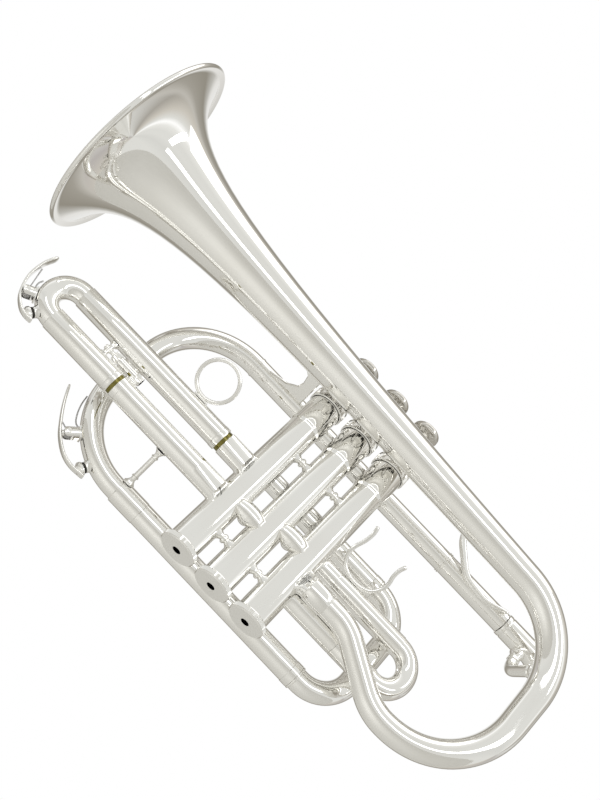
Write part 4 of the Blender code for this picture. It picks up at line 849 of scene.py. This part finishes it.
def build_finger_hook():
    """Flat hook on the leadpipe for the little finger."""
    y = LEADPIPE_Y - LEADPIPE_R - 0.3 - 1.5
    path = rounded_path([(127.0, y, 122.5), (112.0, y, 117.0), (96.0, y, 119.0), (80.0, y, 136.0),
                         (80.0, y, 154.5),
                         (97.0, y, 154.5)], (14.0, 16.0, 14.0, 7.5))
    total = path_length(path)
    thick = [(0, 1.6), (1.5, 2.4), (20, 4.2), (total - 2.0, 4.2), (total - 0.5, 3.0), (total, 1.8)]
    strip("finger_hook_skin", path, [(0, 2.2), (1.0, 3.0), (total - 1.0, 3.0), (total, 1.8)], thick,
          up=(0, 1, 0),
          corner=0.45, replaces=("finger_hook",), sharp=50.0)


# ================================================================ water keys
# Places on a key are an angle about its bow's centre, in degrees, and a height
# above the bow's outer surface. "leaf" is the route of the spring's second leg.
KEY_BOW = {
    "leaf": [(224.5, 1.2), (221.5, 2.6), (216.0, 2.5), (209.0, 1.7), (202.5, 0.6)],
    "name": "bow", "body": "bow_key", "rest_body": ROOT,
    "centre": (FRONT_BOW_X + FRONT_BEND, PIPE_Y, BOTTOM_Z + FRONT_BEND), "bend": FRONT_BEND,
    "tube_r": LEADPIPE_R,
    "pivot": (227.5, 6.1), "cork": 249.5,
    "lever": [(200.3, 11.5), (210.6, 10.4), (220.6, 10.1), (229.0, 10.4), (238.3, 10.0), (246.0, 8.2),
              (254.5, 4.6)],
}
KEY_THIRD = {
    "leaf": [(206.0, 0.9), (200.0, 1.7), (192.0, 1.6), (184.0, 0.7)],
    "name": "third", "body": "third_key", "rest_body": "third_slide",
    "centre": (THIRD_BOW_X, THIRD_Y, (THIRD_HI + THIRD_LO) / 2.0), "bend": (THIRD_HI - THIRD_LO) / 2.0,
    "tube_r": LEADPIPE_R,
    "pivot": (211.0, 4.6), "cork": 244.0,
    "lever": [(147.0, 10.9), (157.0, 9.8), (168.0, 9.1), (190.0, 8.2), (214.0, 7.9), (232.0, 7.3),
              (244.0, 6.2), (256.0, 4.4)],
}


def key_point(key, angle, height):
    """Place above a bow's outer surface, and the outward direction there."""
    a = math.radians(angle)
    n = np.array([math.cos(a), 0.0, math.sin(a)])
    return np.asarray(key["centre"]) + n * (key["bend"] + key["tube_r"] + height), n


def build_water_key(key):
    """Saddle, lever, cup, cork, drain seat and return spring of one key."""
    prefix = key["name"]
    pivot, n = key_point(key, *key["pivot"])
    base, _ = key_point(key, key["pivot"][0], -0.2)
    t = np.array([-n[2], 0.0, n[0]])
    y = np.array([0.0, 1.0, 0.0])
    top = key["pivot"][1] + 0.2
    # Saddle: foot plate and two ears with round tops, and the pin through them.
    parts = []
    crown = top + 2.3
    for side in (-1, 1):
        rows = []
        for height, half in ((0.0, 2.7), (crown - 1.6, 2.7), (crown - 0.7, 2.35), (crown - 0.2, 1.7),
                             (crown, 0.8)):
            face = [base + n * height + t * a + y * side * math.sqrt(3.75 ** 2 - a * a)
                    for a in np.linspace(-half, half, 13)]
            face += [base + n * height + t * a + y * side * 2.55 for a in (half, -half)]
            rows.append(face)
        parts.append(skin(rows))
    outline = ((-3.4, -0.1), (3.4, -0.1), (3.3, 0.6), (2.9, 0.9), (-2.9, 0.9), (-3.3, 0.6))
    foot = [[base + n * b + t * a + y * c for a, b in outline] for c in (-3.55, 3.55)]
    parts.append(skin(foot))
    pin = [(0.0, -4.3), (1.35, -4.3), (1.35, -3.6), (0.8, -3.55), (0.8, 3.55), (1.35, 3.6), (1.35, 4.3),
           (0.0, 4.3)]
    parts.append(lathe_mesh(round_edge(pin, 0.15, 2), pivot, y, 32, closed=False))
    make(f"{prefix}_key_saddle_skin", *join_meshes(parts), body=key["rest_body"],
         replaces=(f"{prefix}_key_saddle",))
    # Lever, with the barrel, web and cup that turn with it.
    path = smooth_path([key_point(key, *place)[0] for place in key["lever"]], 7)
    total = path_length(path)
    widths = [(0.0, 2.6), (0.5, 3.8), (1.2, 4.8), (2.6, 5.6), (total * 0.4, 4.9), (total - 1.0, 4.8),
              (total - 0.4, 4.2), (total, 3.2)]
    thick = [(0.0, 0.7), (0.6, 1.1), (1.6, 1.3), (total - 0.8, 1.3), (total, 0.8)]
    strip(f"{prefix}_key_lever_skin", path, widths, thick, up=y, corner=0.45, body=key["body"],
                  replaces=(f"{prefix}_key_lever",), sharp=50.0)
    angles = [a for a, _ in key["lever"]]
    heights = [h for _, h in key["lever"]]
    arch = float(np.interp(key["pivot"][0], angles, heights))
    drop = float(np.interp(key["cork"], angles, heights))
    seat_point, out = key_point(key, key["cork"], 1.6)
    rise = arch - key["pivot"][1]
    parts = [lathe_mesh(round_edge([(0.85, -2.3), (1.8, -2.3), (1.8, 2.3), (0.85, 2.3)], 0.2), pivot, y,
                        36),
             lathe_mesh([(0.0, 0.9), (1.9, 0.9), (1.5, 1.8), (1.5, rise - 0.9), (2.1, rise - 0.2),
                         (0.0, rise)], pivot, n, 28, closed=False)]
    low, high = 2.1, drop - 1.6
    cup = [(0.0, low + 0.6), (3.0, low + 0.6), (3.1, low - 0.5), (3.7, low - 0.5), (3.8, low + 0.1),
           (3.8, low + 0.9), (3.4, low + 1.5),
           (2.4, min(low + 2.2, high - 0.3)), (2.1, high), (0.0, high)]
    parts.append(lathe_mesh(cup, seat_point, out, 40, closed=False))
    make(f"{prefix}_key_cup", *join_meshes(parts), body=key["body"])
    cork = round_edge([(0.0, 0.0), (3.0, 0.0), (3.0, 2.5), (0.0, 2.5)], 0.3)
    lathe(f"{prefix}_key_cork_skin", cork, seat_point, out, 40, closed=False, body=key["body"],
          material=CORK,
          slot="cork", replaces=(f"{prefix}_key_cork",))
    # Raised seat round the drain.
    base_c, out = key_point(key, key["cork"], 0.0)
    nipple = [(1.4, -0.6), (3.9, -1.2), (3.5, -0.3), (3.1, 0.3), (3.05, 1.2), (2.8, 1.5), (1.6, 1.5),
              (1.4, 1.2)]
    lathe(f"{prefix}_key_seat", nipple, base_c, out, 40, body=key["rest_body"])
    # Return spring: a few turns round the barrel and a leg under the thumb piece.
    coil = []
    for k in range(61):
        a = math.radians(24.0 * k)
        coil.append(pivot + y * (-1.9 + 3.8 * k / 60.0) + 2.2 * (math.cos(a) * t * -1 + math.sin(a) * n))
    reach = key_point(key, key["lever"][2][0], key["lever"][2][1] - 1.2)[0]
    coil.append(reach + y * 1.9)
    tube(f"{prefix}_key_spring", coil, 0.4, sides=10, up=(0, 1, 0), body=key["body"], material=WIRE,
         slot="spring_steel", sharp=60.0)
    # The spring's other leg bears on the tube.
    leg = smooth_path([key_point(key, *place)[0] - y * 2.0 for place in key["leaf"]], 8)
    tube(f"{prefix}_key_spring_leg", leg, 0.42, sides=10, up=(0, 1, 0), body=key["rest_body"],
         material=WIRE,
         slot="spring_steel", sharp=60.0)


# ================================================================ studio
def build_stage():
    """Pale round floor, in metres, well below the part."""
    radius, z, sides = 9.0, -2.4, 180
    mesh = bpy.data.meshes.new("studio_floor")
    rim = [(radius * u, radius * v, z) for u, v in circle(sides)]
    mesh.from_pydata(rim, [], [tuple(range(sides))])
    floor = bpy.data.objects.new("studio_floor", mesh)
    bpy.context.scene.collection.objects.link(floor)
    mesh.materials.append(make_floor_material())


# Tints of the walls that the silver mirrors, and the way from the part to the back wall.
WHITE = (1.0, 1.0, 1.0)
GREY = (1.0, 1.0, 0.965)
UMBER = (1.0, 0.95, 0.86)
MAUVE = (1.0, 0.95, 0.92)
BACK = (0.0, 0.834, 0.552)
FRONT = (0.0, -0.834, -0.552)
WALL_UP = (0.0, -0.552, 0.834)


def build_world():
    """Plain white backdrop; the polished metal mirrors studio walls graded by angle."""
    world = bpy.data.worlds.new("studio_world")
    bpy.context.scene.world = world
    world.use_nodes = True
    nodes = world.node_tree.nodes
    links = world.node_tree.links
    background = nodes["Background"]
    coord = nodes.new("ShaderNodeTexCoord")

    def component(axis):
        dot = nodes.new("ShaderNodeVectorMath")
        dot.operation = "DOT_PRODUCT"
        dot.inputs[1].default_value = axis
        links.new(coord.outputs["Generated"], dot.inputs[0])
        return dot.outputs["Value"]

    angle = nodes.new("ShaderNodeMath")
    angle.operation = "ARCTAN2"
    links.new(component(WALL_UP), angle.inputs[0])
    links.new(component(FRONT), angle.inputs[1])
    scale = nodes.new("ShaderNodeMath")
    scale.operation = "MULTIPLY_ADD"
    scale.inputs[1].default_value = 1.0 / (2.0 * math.pi)
    scale.inputs[2].default_value = 0.5
    links.new(angle.outputs["Value"], scale.inputs[0])
    walls = [(-180, GREY, 0.72), (-150, MAUVE, 0.50), (-118, UMBER, 0.62), (-90, GREY, 0.76),
             (10, GREY, 0.76),
             (35, GREY, 0.70), (52, GREY, 0.76), (66, GREY, 0.75), (80, GREY, 0.84), (90, WHITE, 1.08),
             (100, GREY, 0.76),
             (118, UMBER, 0.62), (142, UMBER, 0.40), (180, GREY, 0.72)]
    stops = [((degrees + 180) / 360.0, tuple(c * level for c in tint)) for degrees, tint, level in walls]
    ramp = add_ramp(nodes, links, scale.outputs["Value"], stops)
    toward_back = component(BACK)
    mask = add_ramp(nodes, links, toward_back, [(0.48, (0, 0, 0)), (0.56, (1, 1, 1))])
    rear = add_ramp(nodes, links, toward_back,
                    [(0.54, (0.56, 0.54, 0.50)), (0.66, (0.38, 0.36, 0.32)), (0.84, (0.30, 0.28, 0.24)),
                     (0.91, (0.52, 0.51, 0.48)), (0.95, (0.80, 0.79, 0.77)), (1.0, (0.86, 0.86, 0.85))])
    back = nodes.new("ShaderNodeMix")
    back.data_type = "RGBA"
    links.new(mask.outputs["Color"], back.inputs[0])
    links.new(ramp.outputs["Color"], back.inputs[6])
    links.new(rear.outputs["Color"], back.inputs[7])
    eye = nodes.new("ShaderNodeLightPath")
    plain = nodes.new("ShaderNodeMix")
    plain.data_type = "RGBA"
    links.new(eye.outputs["Is Camera Ray"], plain.inputs[0])
    links.new(back.outputs[2], plain.inputs[6])
    plain.inputs[7].default_value = (1.0, 1.0, 1.0, 1.0)
    links.new(plain.outputs[2], background.inputs["Color"])
    background.inputs["Strength"].default_value = 1.0


def soft_light(name, place, target, size, power, colour=(1, 1, 1)):
    """Area light that is aimed at a point and unseen by the camera."""
    data = bpy.data.lights.new(name, "AREA")
    data.shape = "RECTANGLE"
    data.size, data.size_y = size
    data.energy = power
    data.color = colour
    obj = bpy.data.objects.new(name, data)
    bpy.context.scene.collection.objects.link(obj)
    obj.location = place
    direction = Vector(target) - Vector(place)
    obj.rotation_euler = direction.to_track_quat("-Z", "Y").to_euler()
    obj.visible_camera = False


def build_lights():
    soft_light("front_strip", (0.0, -1.6, 0.25), (0, 0, 0.1), (2.6, 0.22), 4.0)
    soft_light("floor_wash", (-1.0, -1.5, -0.6), (-1.0, -1.5, -2.4), (1.2, 0.8), 13.0)
    soft_light("side_strip", (0.95, -1.12, 1.05), (0, 0, 0.08), (0.22, 1.1), 2.6)
    soft_light("top_box", (-0.2, -0.9, 2.3), (0, 0, 0.1), (2.6, 1.4), 9.0)


def build_camera():
    """Seen from low on the player's left, with the bell up to the left of the picture."""
    azimuth, elevation, roll = math.radians(2.0), math.radians(-33.5), math.radians(47.336)
    place = np.array([-18.629, -547.796, -248.153]) * MM + ORIGIN
    forward = -np.array([math.sin(azimuth) * math.cos(elevation), -math.cos(azimuth) * math.cos(elevation),
                         math.sin(elevation)])
    right = unit(np.cross(forward, (0, 0, 1)))
    above = np.cross(right, forward)
    image_x = math.cos(roll) * right + math.sin(roll) * above
    image_y = -math.sin(roll) * right + math.cos(roll) * above
    data = bpy.data.cameras.new("camera")
    data.sensor_width = 36.0
    data.lens = 54.0
    data.clip_start = 0.01
    camera = bpy.data.objects.new("camera", data)
    bpy.context.scene.collection.objects.link(camera)
    basis = Matrix((image_x, image_y, -forward)).transposed().to_4x4()
    camera.matrix_world = Matrix.Translation(Vector(place)) @ basis
    bpy.context.scene.camera = camera


for number in (1, 2, 3):
    build_valve(number)
build_between_valves()
build_bell()
build_crook()
build_leadpipe()
build_tuning_slide()
build_third_slide()
build_finger_ring()
build_third_stop()
build_first_slide()
build_second_slide()
build_braces()
build_finger_hook()
build_water_key(KEY_BOW)
build_water_key(KEY_THIRD)
build_stage()
build_world()
build_lights()
build_camera()
bpy.context.scene.view_settings.view_transform = "Standard"
